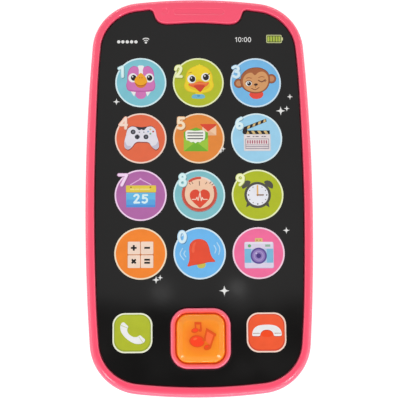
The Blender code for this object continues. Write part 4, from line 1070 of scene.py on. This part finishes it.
def calendar():
    string, gold, blue, number = ink(236, 186, 232), ink(238, 210, 72), ink(104, 192, 238), ink(224, 248, 252)
    shapes = line(string, [(-3.7, 4.0), (-0.1, 6.1), (3.8, 4.0)], 0.36) + area(string, ellipse(-0.1, 6.15, 0.38))
    shapes += area(ink(84, 150, 226), rounded(0.05, -1.65, 5.4, 2.9, 0.3, 3)) + area(blue, rounded(0.05, -0.6, 5.4, 1.9, 0.25, 3))
    shapes += area(ink(92, 172, 234), rounded(0.05, -2.6, 5.3, 1.0, 0.25, 3))
    shapes += area(ink(200, 160, 50), rounded(0.15, 2.3, 5.6, 1.3, 0.3, 4)) + area(gold, rounded(0.1, 2.45, 5.55, 1.25, 0.3, 4))
    for x in (-3.6, 3.6):
        shapes += area(ink(160, 120, 40), ellipse(x, 3.0, 0.32))
    for x, w in ((-3.1, 1.2), (-1.3, 1.2), (0.5, 1.2), (2.3, 1.6)):
        shapes += line(ink(250, 232, 140), [(x - w / 2, 2.25), (x + w / 2, 2.25)], 0.5)
    shapes += line(number, smooth([(-2.35, -0.35), (-1.95, 0.1), (-1.15, 0.15), (-0.75, -0.5), (-1.2, -1.35), (-2.35, -2.75)], 0.4, closed=False) + [(-0.55, -2.75)], 0.74)
    shapes += line(number, [(2.4, 0.05), (0.95, 0.05), (0.85, -1.15)], 0.74)
    shapes += line(number, smooth([(0.85, -1.15), (1.7, -1.0), (2.4, -1.65), (2.1, -2.5), (1.4, -2.8), (0.7, -2.55)], 0.4, closed=False), 0.74)
    return shapes


def arc(cx, cy, r, start, end, n=None):
    n = n or max(3, round(abs(end - start) / 12))
    return [(cx + r * math.cos(math.radians(start + (end - start) * i / n)), cy + r * math.sin(math.radians(start + (end - start) * i / n))) for i in range(n + 1)]


def heart_dial():
    cream, red, band, tick = ink(252, 208, 176), ink(232, 74, 48), ink(214, 84, 66), ink(104, 56, 54)
    cx, cy = 0.1, 0.45
    shapes = area(ink(160, 92, 92), ellipse(cx, cy - 0.15, 6.65)) + area(ink(248, 222, 210), ellipse(cx, cy, 6.55)) + area(cream, ellipse(cx, cy, 5.9))
    shapes += line(band, arc(cx, cy, 6.05, 150, 385), 0.95)
    shapes += line(band, arc(cx, cy, 6.05, 127, 88), 0.95)
    shapes += line(ink(186, 66, 54), arc(cx, cy, 5.6, 160, 375), 0.24)
    for a, r in ((90, 3.2), (122, 4.6), (133, 4.9), (58, 4.4), (46, 5.5), (36, 5.7)):
        shapes += line(tick, [(cx + r * math.cos(math.radians(a)), cy + r * math.sin(math.radians(a))), (cx + (r + (1.5 if a == 90 else 0.8)) * math.cos(math.radians(a)), cy + (r + (1.5 if a == 90 else 0.8)) * math.sin(math.radians(a)))], 0.26)
    right = [(0.25, 1.2), (1.2, 2.05), (2.7, 1.95), (3.85, 0.8), (3.85, -0.9), (2.7, -2.5), (1.2, -3.9)]
    shapes += area(ink(196, 56, 42), [(x, y - 0.12) for x, y in smooth(right + [(0.25, -4.65)] + [(0.5 - x, y) for x, y in reversed(right[1:])], 0.4)])
    shapes += area(red, smooth(right + [(0.25, -4.55)] + [(0.5 - x, y) for x, y in reversed(right[1:])], 0.4))
    shapes += line(ink(252, 226, 206), [(-2.6, -1.6), (-1.2, -1.6), (-0.85, -0.8), (-0.4, -2.0), (0.3, 1.0), (0.75, -2.1), (1.1, -0.9), (1.45, -1.6), (3.0, -1.6)], 0.3)
    return shapes


def clock():
    grey, light, hand = ink(82, 80, 70), ink(242, 242, 250), ink(240, 184, 108)
    shapes = []
    for s in (-1, 1):
        shapes += area(grey, smooth([(s * 2.6, 5.1), (s * 3.4, 5.5), (s * 4.8, 5.2), (s * 5.8, 3.9), (s * 5.7, 2.5)][::s], 0.4))
        shapes += area(grey, [(s * 2.4, -3.6), (s * 4.4, -4.7), (s * 3.9, -2.4)][::s])
    shapes += area(grey, ellipse(0, 0, 4.95)) + area(light, ellipse(0, 0, 4.0))
    for k in range(12):
        a = math.radians(30 * k)
        shapes += area(grey, ellipse(3.4 * math.cos(a), 3.4 * math.sin(a), 0.2 if k % 3 else 0.28, n=10))
    shapes += line(ink(150, 122, 104), [(0, 0), (2.1, 0)], 0.55) + line(hand, [(0, 3.5), (0, 0)], 0.6) + area(ink(180, 132, 90), ellipse(0, 0, 0.4))
    return shapes


def calculator():
    cream, mark = ink(253, 224, 204), ink(22, 20, 20)
    shapes = area(ink(206, 116, 52), rounded(-0.02, -0.45, 4.8, 4.85, 0.5, 4))
    for x, y in ((-2.42, 2.05), (2.38, 2.05), (-2.42, -2.95), (2.38, -2.95)):
        shapes += area(cream, rounded(x, y, 2.28, 2.35, 0.35, 3))
    bar = lambda x, y, turn=0.0: area(mark, rounded(x, y, 1.05, 0.36, 0.06, 2, turn))
    shapes += bar(-2.5, 2.1) + bar(-2.5, 2.1, 90) + bar(2.4, 2.1)
    shapes += bar(-2.5, -2.85, 45) + bar(-2.5, -2.85, 135)
    shapes += bar(2.4, -2.3) + bar(2.4, -3.4)
    return shapes


def bell():
    red, deep, brass, wave = ink(240, 78, 46), ink(206, 56, 38), ink(206, 196, 84), ink(182, 222, 250)
    shapes = area(brass, ellipse(0.6, -4.35, 1.6, 1.2, 8))
    dome = [(-0.2, 5.2), (-2.0, 4.8), (-3.3, 3.6), (-3.75, 1.8), (-3.65, -0.6), (-3.75, -2.6), (-4.4, -4.6), (-2.0, -4.2), (0.4, -3.85), (3.0, -3.2), (5.6, -2.8), (4.5, -1.5), (3.8, 0.2), (3.3, 2.4), (2.4, 4.2), (1.1, 5.0)]
    shapes += area(deep, smooth([(x * 1.03, y * 1.03 - 0.05) for x, y in dome], 0.5)) + area(red, smooth(dome, 0.5))
    shapes += area(ink(248, 98, 64), smooth([(-2.3, 3.6), (-1.4, 4.2), (-1.8, 2.5), (-2.3, 0.2), (-2.7, 0.3), (-2.8, 2.0)], 0.4))
    for points in ([(-6.3, 1.8), (-7.2, -0.2), (-5.8, -2.4)], [(-5.3, 0.9), (-5.8, -0.1), (-5.1, -1.3)], [(6.4, 3.9), (7.4, 1.7), (7.0, -0.5)], [(5.3, 2.9), (6.0, 1.5), (5.6, 0.1)]):
        shapes += line(wave, smooth(points, 0.5, closed=False), 0.4)
    return shapes


def camera_icon():
    shell, side, deep, mid, pale = ink(228, 218, 240), ink(128, 192, 226), ink(94, 72, 150), ink(148, 124, 190), ink(172, 154, 208)
    shapes = area(ink(228, 194, 124), rounded(0.1, 4.7, 1.4, 0.85, 0.3, 4))
    shapes += area(ink(200, 182, 220), rounded(0.15, -0.75, 5.4, 4.9, 0.6, 4)) + area(shell, rounded(0.1, -0.65, 5.3, 4.8, 0.6, 4))
    shapes += area(ink(240, 234, 248), rounded(0.1, 3.75, 5.1, 0.32, 0.2, 3))
    shapes += area(ink(186, 206, 236), rounded(0.1, -1.0, 5.2, 2.6, 0.1, 2))
    shapes += area(side, rounded(-4.0, -1.0, 1.2, 2.6, 0.15, 3)) + area(side, rounded(4.15, -1.0, 1.2, 2.6, 0.15, 3))
    shapes += area(ink(104, 180, 116), ellipse(-3.35, 2.65, 0.62)) + area(ink(150, 184, 160), rounded(3.4, 2.75, 0.95, 0.42, 0.12, 3))
    shapes += area(ink(190, 134, 84), ellipse(-0.55, 4.75, 0.3)) + area(ink(190, 134, 84), ellipse(0.65, 4.75, 0.3))
    shapes += area(deep, ellipse(0, -1.0, 3.0)) + area(mid, ellipse(0, -1.0, 2.4)) + area(pale, ellipse(0, -1.0, 1.8)) + area(mid, ellipse(0, -1.0, 1.45)) + area(ink(74, 54, 128), ellipse(0, -1.0, 0.9))
    shapes += area(ink(206, 196, 232), ellipse(-0.85, -0.1, 0.3))
    return shapes


def numeral(kind):
    """The key's number, drawn across its ring at the upper left, as strokes."""
    curve = lambda points, closed=False: smooth(points, 0.55, closed=closed)
    strokes = {
        "1": [([(-8.2, 5.5), (-6.95, 6.1), (-6.9, 2.35)], False)],
        "2": [(curve([(-8.5, 5.15), (-8.1, 6.15), (-7.15, 6.4), (-6.5, 5.7), (-6.8, 4.5), (-8.4, 2.4)]) + [(-6.35, 2.4)], False)],
        "3": [(curve([(-8.5, 5.85), (-7.5, 6.4), (-6.5, 5.9), (-6.55, 4.95), (-7.5, 4.4)]), False), (curve([(-7.5, 4.4), (-6.35, 3.95), (-6.3, 2.8), (-7.35, 2.15), (-8.55, 2.65)]), False)],
        "4": [([(-5.65, 3.85), (-5.65, 7.8), (-7.75, 5.15), (-5.3, 5.15)], False)],
        "5": [([(-5.5, 7.75), (-7.45, 7.75), (-7.55, 5.9)], False), (curve([(-7.55, 5.9), (-6.5, 6.1), (-5.6, 5.35), (-5.75, 4.25), (-6.65, 3.75), (-7.7, 4.05)]), False)],
        "6": [(curve([(-5.6, 7.7), (-6.8, 7.0), (-7.4, 5.4), (-7.1, 4.15), (-6.3, 3.75), (-5.5, 4.25), (-5.45, 5.15), (-6.2, 5.7), (-7.15, 5.2)]), False)],
        "7": [([(-8.05, 7.7), (-5.15, 7.7), (-7.0, 3.85)], False)],
        "8": [(ellipse(-6.15, 6.9, 0.9, n=14), True), (ellipse(-6.15, 4.7, 1.08, 1.08, n=16), True)],
        "9": [(ellipse(-6.35, 6.45, 1.15, 1.12, n=16), True), (curve([(-5.2, 6.4), (-5.45, 5.0), (-6.5, 3.85)]), False)],
        "0": [(ellipse(-6.4, 6.1, 1.15, 1.9, n=20), True)],
    }
    return strokes.get(kind, [])


KEYS = [
    # name, column, row, ground, ring tint, numeral, drawing
    ("print_key_1", 0, 0, (130, 204, 219), (214, 240, 245), "1", chick),
    ("print_key_2", 1, 0, (188, 198, 36), (236, 242, 190), "2", duckling),
    ("print_key_3", 2, 0, (121, 192, 241), (208, 230, 252), "3", monkey),
    ("print_key_4", 0, 1, (238, 108, 69), (254, 212, 196), "4", gamepad),
    ("print_key_5", 1, 1, (238, 141, 55), (254, 218, 186), "5", envelopes),
    ("print_key_6", 2, 1, (162, 217, 246), (216, 238, 252), "6", clapper),
    ("print_key_7", 0, 2, (185, 106, 173), (246, 210, 240), "7", calendar),
    ("print_key_8", 1, 2, (131, 199, 208), (210, 238, 243), "8", heart_dial),
    ("print_key_9", 2, 2, (184, 196, 29), (236, 242, 190), "9", clock),
    ("print_key_calculator", 0, 3, (254, 138, 40), (254, 222, 190), "", calculator),
    ("print_key_0", 1, 3, (111, 190, 248), (210, 232, 252), "0", bell),
    ("print_key_camera", 2, 3, (252, 112, 163), (254, 208, 226), "", camera_icon),
]
KEY_X, KEY_Y = (-21.77, -0.1, 21.6), (42.0, 20.42, -1.2, -22.9)
KEY_RADIUS, KEY_RING = 9.6, 0.55


def darker(rgb, share):
    return tuple(int(v * share) for v in rgb)


def print_keys():
    for name, column, row, ground, tint, number, drawing in KEYS:
        shapes = area(ink(*[min(255, v + 10) for v in tint]), ellipse(0, 0, KEY_RADIUS, n=96))
        shapes += area(ink(*ground), ellipse(0, 0, KEY_RADIUS - KEY_RING, n=96))
        shapes += drawing()
        for points, closed in numeral(number):
            shapes += moved(line(ink(*darker(ground, 0.62)), points, 1.3, closed), 0.17, -0.17)
        for points, closed in numeral(number):
            shapes += line(ink(*[int(0.72 * a + 0.28 * b) for a, b in zip(tint, ground)]), points, 1.3, closed)
        for points, closed in numeral(number):
            shapes += line(ink(*[min(255, v + 16) for v in tint]), points, 0.82, closed)
        printed(name, (KEY_X[column], KEY_Y[row]), shapes)


def print_call_keys():
    cream = ink(246, 248, 222)
    shapes = area(cream, rounded(0, 0, 7.19, 7.19, 4.4, 12)) + area(ink(160, 174, 52), rounded(0, 0, 6.66, 6.66, 3.95, 12)) + area(ink(186, 196, 50), rounded(0, 0.1, 6.25, 6.25, 3.65, 12))
    handset = [(-4.85, 1.9), (-4.75, 3.0), (-4.25, 3.9), (-3.6, 4.15), (-2.6, 3.3), (-1.75, 2.4), (-2.1, 1.65), (-2.15, 0.85), (-1.75, -0.1), (-0.75, -1.0), (0.6, -1.6), (1.8, -1.4), (2.75, -0.85), (3.7, -1.7), (4.7, -2.6), (4.35, -3.5), (3.6, -4.0), (2.6, -4.2), (1.0, -4.1), (-0.7, -3.4), (-2.35, -2.2), (-3.8, -0.7), (-4.6, 0.7)]
    handset = [(0.94 * x + 0.15, 0.94 * y) for x, y in handset]
    shapes += area(ink(150, 164, 60), [(x + 0.12, y - 0.16) for x, y in smooth(handset, 0.5)]) + area(WHITE_INK, smooth(handset, 0.5))
    shapes += line(ink(206, 216, 130), [(-4.15, 2.8), (-1.9, 1.85)], 0.22) + line(ink(206, 216, 130), [(2.3, -1.35), (3.8, -3.45)], 0.22)
    printed("print_answer_key", (-24.65, -51.8), shapes)
    rose = ink(254, 222, 206)
    shapes = area(rose, rounded(0, 0, 7.19, 7.19, 4.4, 12)) + area(ink(222, 78, 52), rounded(0, 0, 6.66, 6.66, 3.95, 12)) + area(ink(252, 96, 54), rounded(0, 0.1, 6.25, 6.25, 3.65, 12))
    arch = [(-5.1, -1.15), (-5.1, 0.0), (-4.65, 1.15), (-3.5, 2.2), (-1.6, 2.7), (0.2, 2.8), (2.0, 2.7), (3.8, 2.2), (5.0, 1.15), (5.5, 0.0), (5.45, -1.15), (4.1, -1.35), (2.75, -1.15), (2.45, -0.2), (1.6, 0.65), (0.2, 0.95), (-1.3, 0.65), (-2.1, -0.2), (-2.35, -1.15), (-3.7, -1.3)]
    shapes += area(ink(254, 80, 34), ellipse(0.25, -0.4, 2.5, 1.3))
    shapes += area(ink(200, 70, 50), [(x + 0.08, y - 0.2) for x, y in smooth(arch, 0.5)]) + area(WHITE_INK, smooth(arch, 0.5))
    for x in (-3.7, 4.1):
        shapes += area(ink(176, 140, 128), rounded(x, -0.3, 1.25, 0.12, 0.05, 2))
    printed("print_hang_up_key", (23.9, -51.9), shapes)


def print_status():
    grey = ink(240, 240, 238)
    shapes = []
    for x in (-30.15, -28.6, -26.95, -25.3, -23.65):
        shapes += area(grey, ellipse(x, 58.0, 0.63, n=20))
    printed("print_signal_dots", (0, 0), shapes)
    shapes = area(grey, ellipse(-19.85, 57.75, 0.42, n=16))
    shapes += line(grey, arc(-19.85, 57.75, 0.95, 42, 138), 0.3) + line(grey, arc(-19.85, 57.75, 1.72, 50, 130), 0.34)
    printed("print_signal_fan", (0, 0), shapes)
    shapes = []
    shapes += line(grey, [(14.25, 59.5), (14.65, 59.85), (14.65, 58.15)], 0.27)
    for x in (15.85, 18.05, 19.55):
        shapes += line(grey, ellipse(x, 59.0, 0.5, 0.86, n=20), 0.27, closed=True)
    for y in (58.45, 59.4):
        shapes += area(grey, ellipse(16.95, y, 0.19, n=12))
    printed("print_time", (0, 0), shapes)
    pale, green = ink(206, 212, 150), ink(182, 202, 72)
    frame_loop, hole = rounded(28.95, 59.3, 2.95, 1.62, 0.45, 5), rounded(28.95, 59.3, 2.65, 1.32, 0.25, 4)
    shapes = area(pale, frame_loop, hole)
    shapes += area(ink(74, 84, 36), hole)
    for k in range(5):
        shapes += area(green, rounded(26.85 + 1.03 * k, 59.3, 0.36, 1.02, 0.08, 3))
    shapes += area(pale, rounded(32.1, 59.3, 0.26, 0.6, 0.15, 3))
    printed("print_battery_mark", (0, 0), shapes)


STARS = [(-30.9, 34.5, 1.3), (34.5, 36.5, 1.15), (30.9, 31.0, 1.75), (33.2, 31.9, 1.1), (32.0, -14.5, 1.3), (-16.1, -32.6, 1.4), (-14.6, -31.8, 1.05), (8.8, -36.7, 1.9), (8.1, 15.5, 0.95), (9.05, 16.35, 0.9)]


def print_stars():
    star_ink = ink(240, 240, 238)
    for index, (x, y, r) in enumerate(STARS):
        points = []
        for k in range(4):
            a = math.pi / 2 * k + math.pi / 2
            tip = (r * math.cos(a), r * math.sin(a))
            b = a + math.pi / 4
            dent = (r * 0.34 * math.cos(b), r * 0.34 * math.sin(b))
            points += [tip, (tip[0] * 0.45 + dent[0] * 0.45, tip[1] * 0.45 + dent[1] * 0.45), dent]
            following = (r * math.cos(a + math.pi / 2), r * math.sin(a + math.pi / 2))
            points.append((following[0] * 0.45 + dent[0] * 0.45, following[1] * 0.45 + dent[1] * 0.45))
        printed(f"print_star_{index + 1}", (x, y), area(star_ink, points), top=PANEL_TOP + 0.03)


def print_notes():
    """The two notes and the oval on the home button, in low relief."""
    deep, bright = NOTE_RED, plastic("note_bright", (1.0, 0.055, 0.012), (0.14, 0.2), 0.04, (1400.0, 0.0008))
    warm = plastic("note_warm", (1.0, 0.155, 0.040), (0.14, 0.2), 0.03, (1400.0, 0.0008))
    shapes = area(deep, ellipse(-1.45, -1.2, 2.75, 2.15, -5)) + area(bright, ellipse(-1.4, -1.3, 2.45, 1.8, -5))
    # painted highlight: the small warm oval on the big head
    shapes += area(warm, ellipse(-2.1, -0.35, 0.75, 0.38, 20))
    shapes += area(deep, [(-2.3, 5.7), (0.15, 5.55), (0.15, 4.75), (-2.3, 4.85)])
    shapes += line(deep, [(-2.05, 5.2), (-1.9, 3.0)], 0.5) + line(deep, [(-0.1, 5.1), (0.05, 2.8)], 0.5)
    shapes += area(deep, ellipse(-2.2, 2.65, 1.3, 0.88, 12)) + area(bright, ellipse(-1.95, 2.8, 0.95, 0.58, 12))
    shapes += area(deep, ellipse(-0.25, 2.65, 0.55, 0.5, 12))
    shapes += area(warm, [(2.2, 2.7), (4.6, 1.1), (3.2, -2.6), (1.6, -1.0)])
    shapes += area(deep, [(1.9, 3.55), (5.55, 1.35), (5.3, 0.45), (1.75, 2.6)])
    shapes += line(deep, [(2.1, 2.9), (1.4, -0.3)], 0.6) + line(deep, [(4.8, 1.0), (3.3, -3.3)], 0.6)
    shapes += area(deep, ellipse(2.3, -3.4, 1.4, 0.95, 14)) + area(bright, ellipse(2.0, -3.1, 0.6, 0.35, 14)) + area(deep, ellipse(1.05, -0.8, 0.6, 0.5, 10))
    return printed("home_notes", (0.05, BUTTON_Y + 0.1), shapes, "home_button", "button_orange", CAP_FLAT_Z - 0.15, CAP_TOP_Z)


front_shell()
rear_shell()
door()
face_panel()
home_cap()
print_notes()
silicone_dome()
print_keys()
print_call_keys()
print_status()
print_stars()
screw("door_screw_head", "door_screw", "door_screw", 0.0, DOOR_SCREW_Y, 0.1, 2.3, 0.7, 1.0, 6.4, 1.4)
for index, (sx, sy) in enumerate(HOUSING_SCREWS):
    screw(f"case_screw_{index + 1}", f"housing_screw_{index + 1}", "case", sx, sy, 2.3, 2.2, 1.4, 1.15, 9.4, 1.35)
cell("cell_1", "battery_1", -CELL_X, BAY_Y1 - GAP - 0.4 - GAP, 1)
cell("cell_2", "battery_2", CELL_X, BAY_Y0 + GAP + 0.4 + GAP, -1)
spring("cell_spring_1", "battery_spring_1", -CELL_X, BAY_Y0 + GAP + 0.4, BAY_Y1 - 2 * GAP - 0.4 - CELL_LENGTH)
spring("cell_spring_2", "battery_spring_2", CELL_X, BAY_Y1 - GAP - 0.4, BAY_Y0 + 2 * GAP + 0.4 + CELL_LENGTH)

CAD_LOOKS = {
    "touch_film": FILM, "main_board": BOARD, "sound_chip": BLACK, "board_capacitor": CAN,
    "film_connector": IVORY, "power_switch_body": STEEL, "power_switch_knob": WHITE, "speaker_frame": STEEL, "speaker_cone": PAPER,
    "speaker_magnet": MAGNET, "speaker_gasket": FOAM, "contact_positive": NICKEL, "contact_negative": NICKEL, "contact_bridge": NICKEL,
    "board_screw_1": STEEL, "board_screw_2": STEEL, "board_screw_3": STEEL, "speaker_wire_red": RED_WIRE, "battery_wire_red": RED_WIRE,
    "speaker_wire_black": BLACK_WIRE, "battery_wire_black": BLACK_WIRE,
}
for node, made in CAD_LOOKS.items():
    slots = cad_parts[node].material_slots
    for one in slots:
        one.material = made


# ---- camera ---------------------------------------------------------------------------------
def place_camera():
    tilt, yaw, roll = -0.174847, 0.033718, 0.008536
    tx, ty, distance, scale = -0.9656, 33.3409, 1042.14, 0.3724
    turn = Matrix.Rotation(roll, 3, "Z") @ Matrix.Rotation(tilt, 3, "X") @ Matrix.Rotation(yaw, 3, "Y")
    back = turn.transposed()
    eye_at = back @ Vector((-tx, -ty, distance))
    data = bpy.data.cameras.new("camera")
    data.sensor_width = 36.0
    data.lens = 36.0 * distance / 400.0
    data.clip_start, data.clip_end = 0.01, 20.0
    camera = bpy.data.objects.new("camera", data)
    camera.matrix_world = Matrix.Translation(Vector(((eye_at.x - 0.2) * scale, (eye_at.y + 25.7) * scale, eye_at.z * scale + PANEL_TOP)) * MM) @ back.to_4x4()
    bpy.context.scene.collection.objects.link(camera)
    bpy.context.scene.camera = camera


# ---- floor and light --------------------------------------------------------------------------
def stage():
    made = bpy.data.materials.new("floor_white")
    made.use_nodes = True
    tree = made.node_tree
    shader = tree.nodes["Principled BSDF"]
    shader.inputs["Base Color"].default_value = (0.42, 0.42, 0.42, 1.0)
    shader.inputs["Roughness"].default_value = 0.7
    shader.inputs["Emission Color"].default_value = (1.0, 1.0, 1.0, 1.0)
    shader.inputs["Emission Strength"].default_value = 0.82
    clear = tree.nodes.new("ShaderNodeBsdfTransparent")
    mix = tree.nodes.new("ShaderNodeMixShader")
    below = tree.nodes.new("ShaderNodeNewGeometry")
    tree.links.new(below.outputs["Backfacing"], mix.inputs["Fac"])
    tree.links.new(shader.outputs["BSDF"], mix.inputs[1])
    tree.links.new(clear.outputs["BSDF"], mix.inputs[2])
    tree.links.new(mix.outputs["Shader"], tree.nodes["Material Output"].inputs["Surface"])
    bm = bmesh.new()
    bmesh.ops.create_grid(bm, x_segments=1, y_segments=1, size=4.0)
    mesh = bpy.data.meshes.new("floor")
    bm.to_mesh(mesh)
    bm.free()
    mesh.materials.append(made)
    floor = bpy.data.objects.new("floor", mesh)
    floor.location = (0, 0, -0.0002)
    bpy.context.scene.collection.objects.link(floor)

    world = bpy.data.worlds.new("studio")
    world.use_nodes = True
    bpy.context.scene.world = world
    tree = world.node_tree
    background = tree.nodes["Background"]
    background.inputs["Strength"].default_value = 1.0
    # the ceiling straight above is dim, so the glossy panel reflects a soft grey, darker on the near side
    coords = tree.nodes.new("ShaderNodeTexCoord")
    split = tree.nodes.new("ShaderNodeSeparateXYZ")
    tree.links.new(coords.outputs["Generated"], split.inputs["Vector"])

    def span(value, a, b, low, high):
        node = tree.nodes.new("ShaderNodeMapRange")
        node.interpolation_type = "SMOOTHSTEP"
        for socket, number in (("From Min", a), ("From Max", b), ("To Min", low), ("To Max", high)):
            node.inputs[socket].default_value = number
        tree.links.new(value, node.inputs["Value"])
        return node.outputs["Result"]

    smoke = tree.nodes.new("ShaderNodeTexNoise")
    smoke.inputs["Scale"].default_value = 26.0
    smoke.inputs["Detail"].default_value = 2.0
    tree.links.new(coords.outputs["Generated"], smoke.inputs["Vector"])
    dim = span(smoke.outputs["Fac"], 0.42, 0.68, 0.12, 0.27)
    threshold = tree.nodes.new("ShaderNodeMath")
    threshold.operation = "MULTIPLY_ADD"
    threshold.inputs[1].default_value = 0.03
    tree.links.new(smoke.outputs["Fac"], threshold.inputs[0])
    tree.links.new(split.outputs["Y"], threshold.inputs[2])
    far_share = span(threshold.outputs["Value"], 0.079, 0.098, 0.0, 1.0)
    ceiling = tree.nodes.new("ShaderNodeMix")
    ceiling.data_type = "FLOAT"
    tree.links.new(far_share, ceiling.inputs["Factor"])
    tree.links.new(dim, ceiling.inputs["A"])
    ceiling.inputs["B"].default_value = 0.56
    near_far = ceiling.outputs["Result"]
    # two faint soft patches in the reflection
    for x, y in ((-0.0038, 0.0860), (0.0682, 0.0890)):
        away = tree.nodes.new("ShaderNodeVectorMath")
        away.operation = "DISTANCE"
        away.inputs[1].default_value = (x, y, math.sqrt(1.0 - x * x - y * y))
        tree.links.new(coords.outputs["Generated"], away.inputs[0])
        glow = tree.nodes.new("ShaderNodeMath")
        glow.operation = "ADD"
        tree.links.new(near_far, glow.inputs[0])
        tree.links.new(span(away.outputs["Value"], 0.004, 0.012, 1.2, 0.0), glow.inputs[1])
        near_far = glow.outputs["Value"]
    under = span(split.outputs["Z"], -0.9, 0.0, 0.20, 0.73)
    overhead = span(split.outputs["Z"], 0.80, 0.90, 0.0, 1.0)
    level = tree.nodes.new("ShaderNodeMix")
    level.data_type = "FLOAT"
    tree.links.new(overhead, level.inputs["Factor"])
    tree.links.new(under, level.inputs["A"])
    tree.links.new(near_far, level.inputs["B"])
    colour = tree.nodes.new("ShaderNodeCombineColor")
    for channel in ("Red", "Green", "Blue"):
        tree.links.new(level.outputs["Result"], colour.inputs[channel])
    tree.links.new(colour.outputs["Color"], background.inputs["Color"])

    def soft_box(name, azimuth, elevation, distance, size, radiance):
        data = bpy.data.lights.new(name, "AREA")
        data.shape = "RECTANGLE"
        data.size, data.size_y = size
        data.energy = radiance * math.pi * size[0] * size[1]
        light = bpy.data.objects.new(name, data)
        a, e = math.radians(azimuth), math.radians(elevation)
        way = Vector((math.cos(a) * math.cos(e), math.sin(a) * math.cos(e), math.sin(e)))
        light.location = way * distance
        light.rotation_mode = "QUATERNION"
        light.rotation_quaternion = way.to_track_quat("Z", "Y")
        bpy.context.scene.collection.objects.link(light)

    soft_box("soft_box_left", 180, 14, 0.8, (1.1, 0.12), 3.2)
    soft_box("soft_box_right", 0, 14, 0.8, (1.1, 0.12), 3.1)
    soft_box("soft_box_near", 270, 14, 0.8, (1.1, 0.12), 5.7)
    soft_box("soft_box_far", 90, 16, 0.8, (1.1, 0.10), 3.6)
    soft_box("spot_box_near_left", 226, 38, 0.8, (0.12, 0.22), 13.0)
    soft_box("spot_box_near_right", 314, 38, 0.8, (0.12, 0.22), 13.0)


place_camera()
stage()
bpy.context.scene.view_settings.view_transform = "Standard"
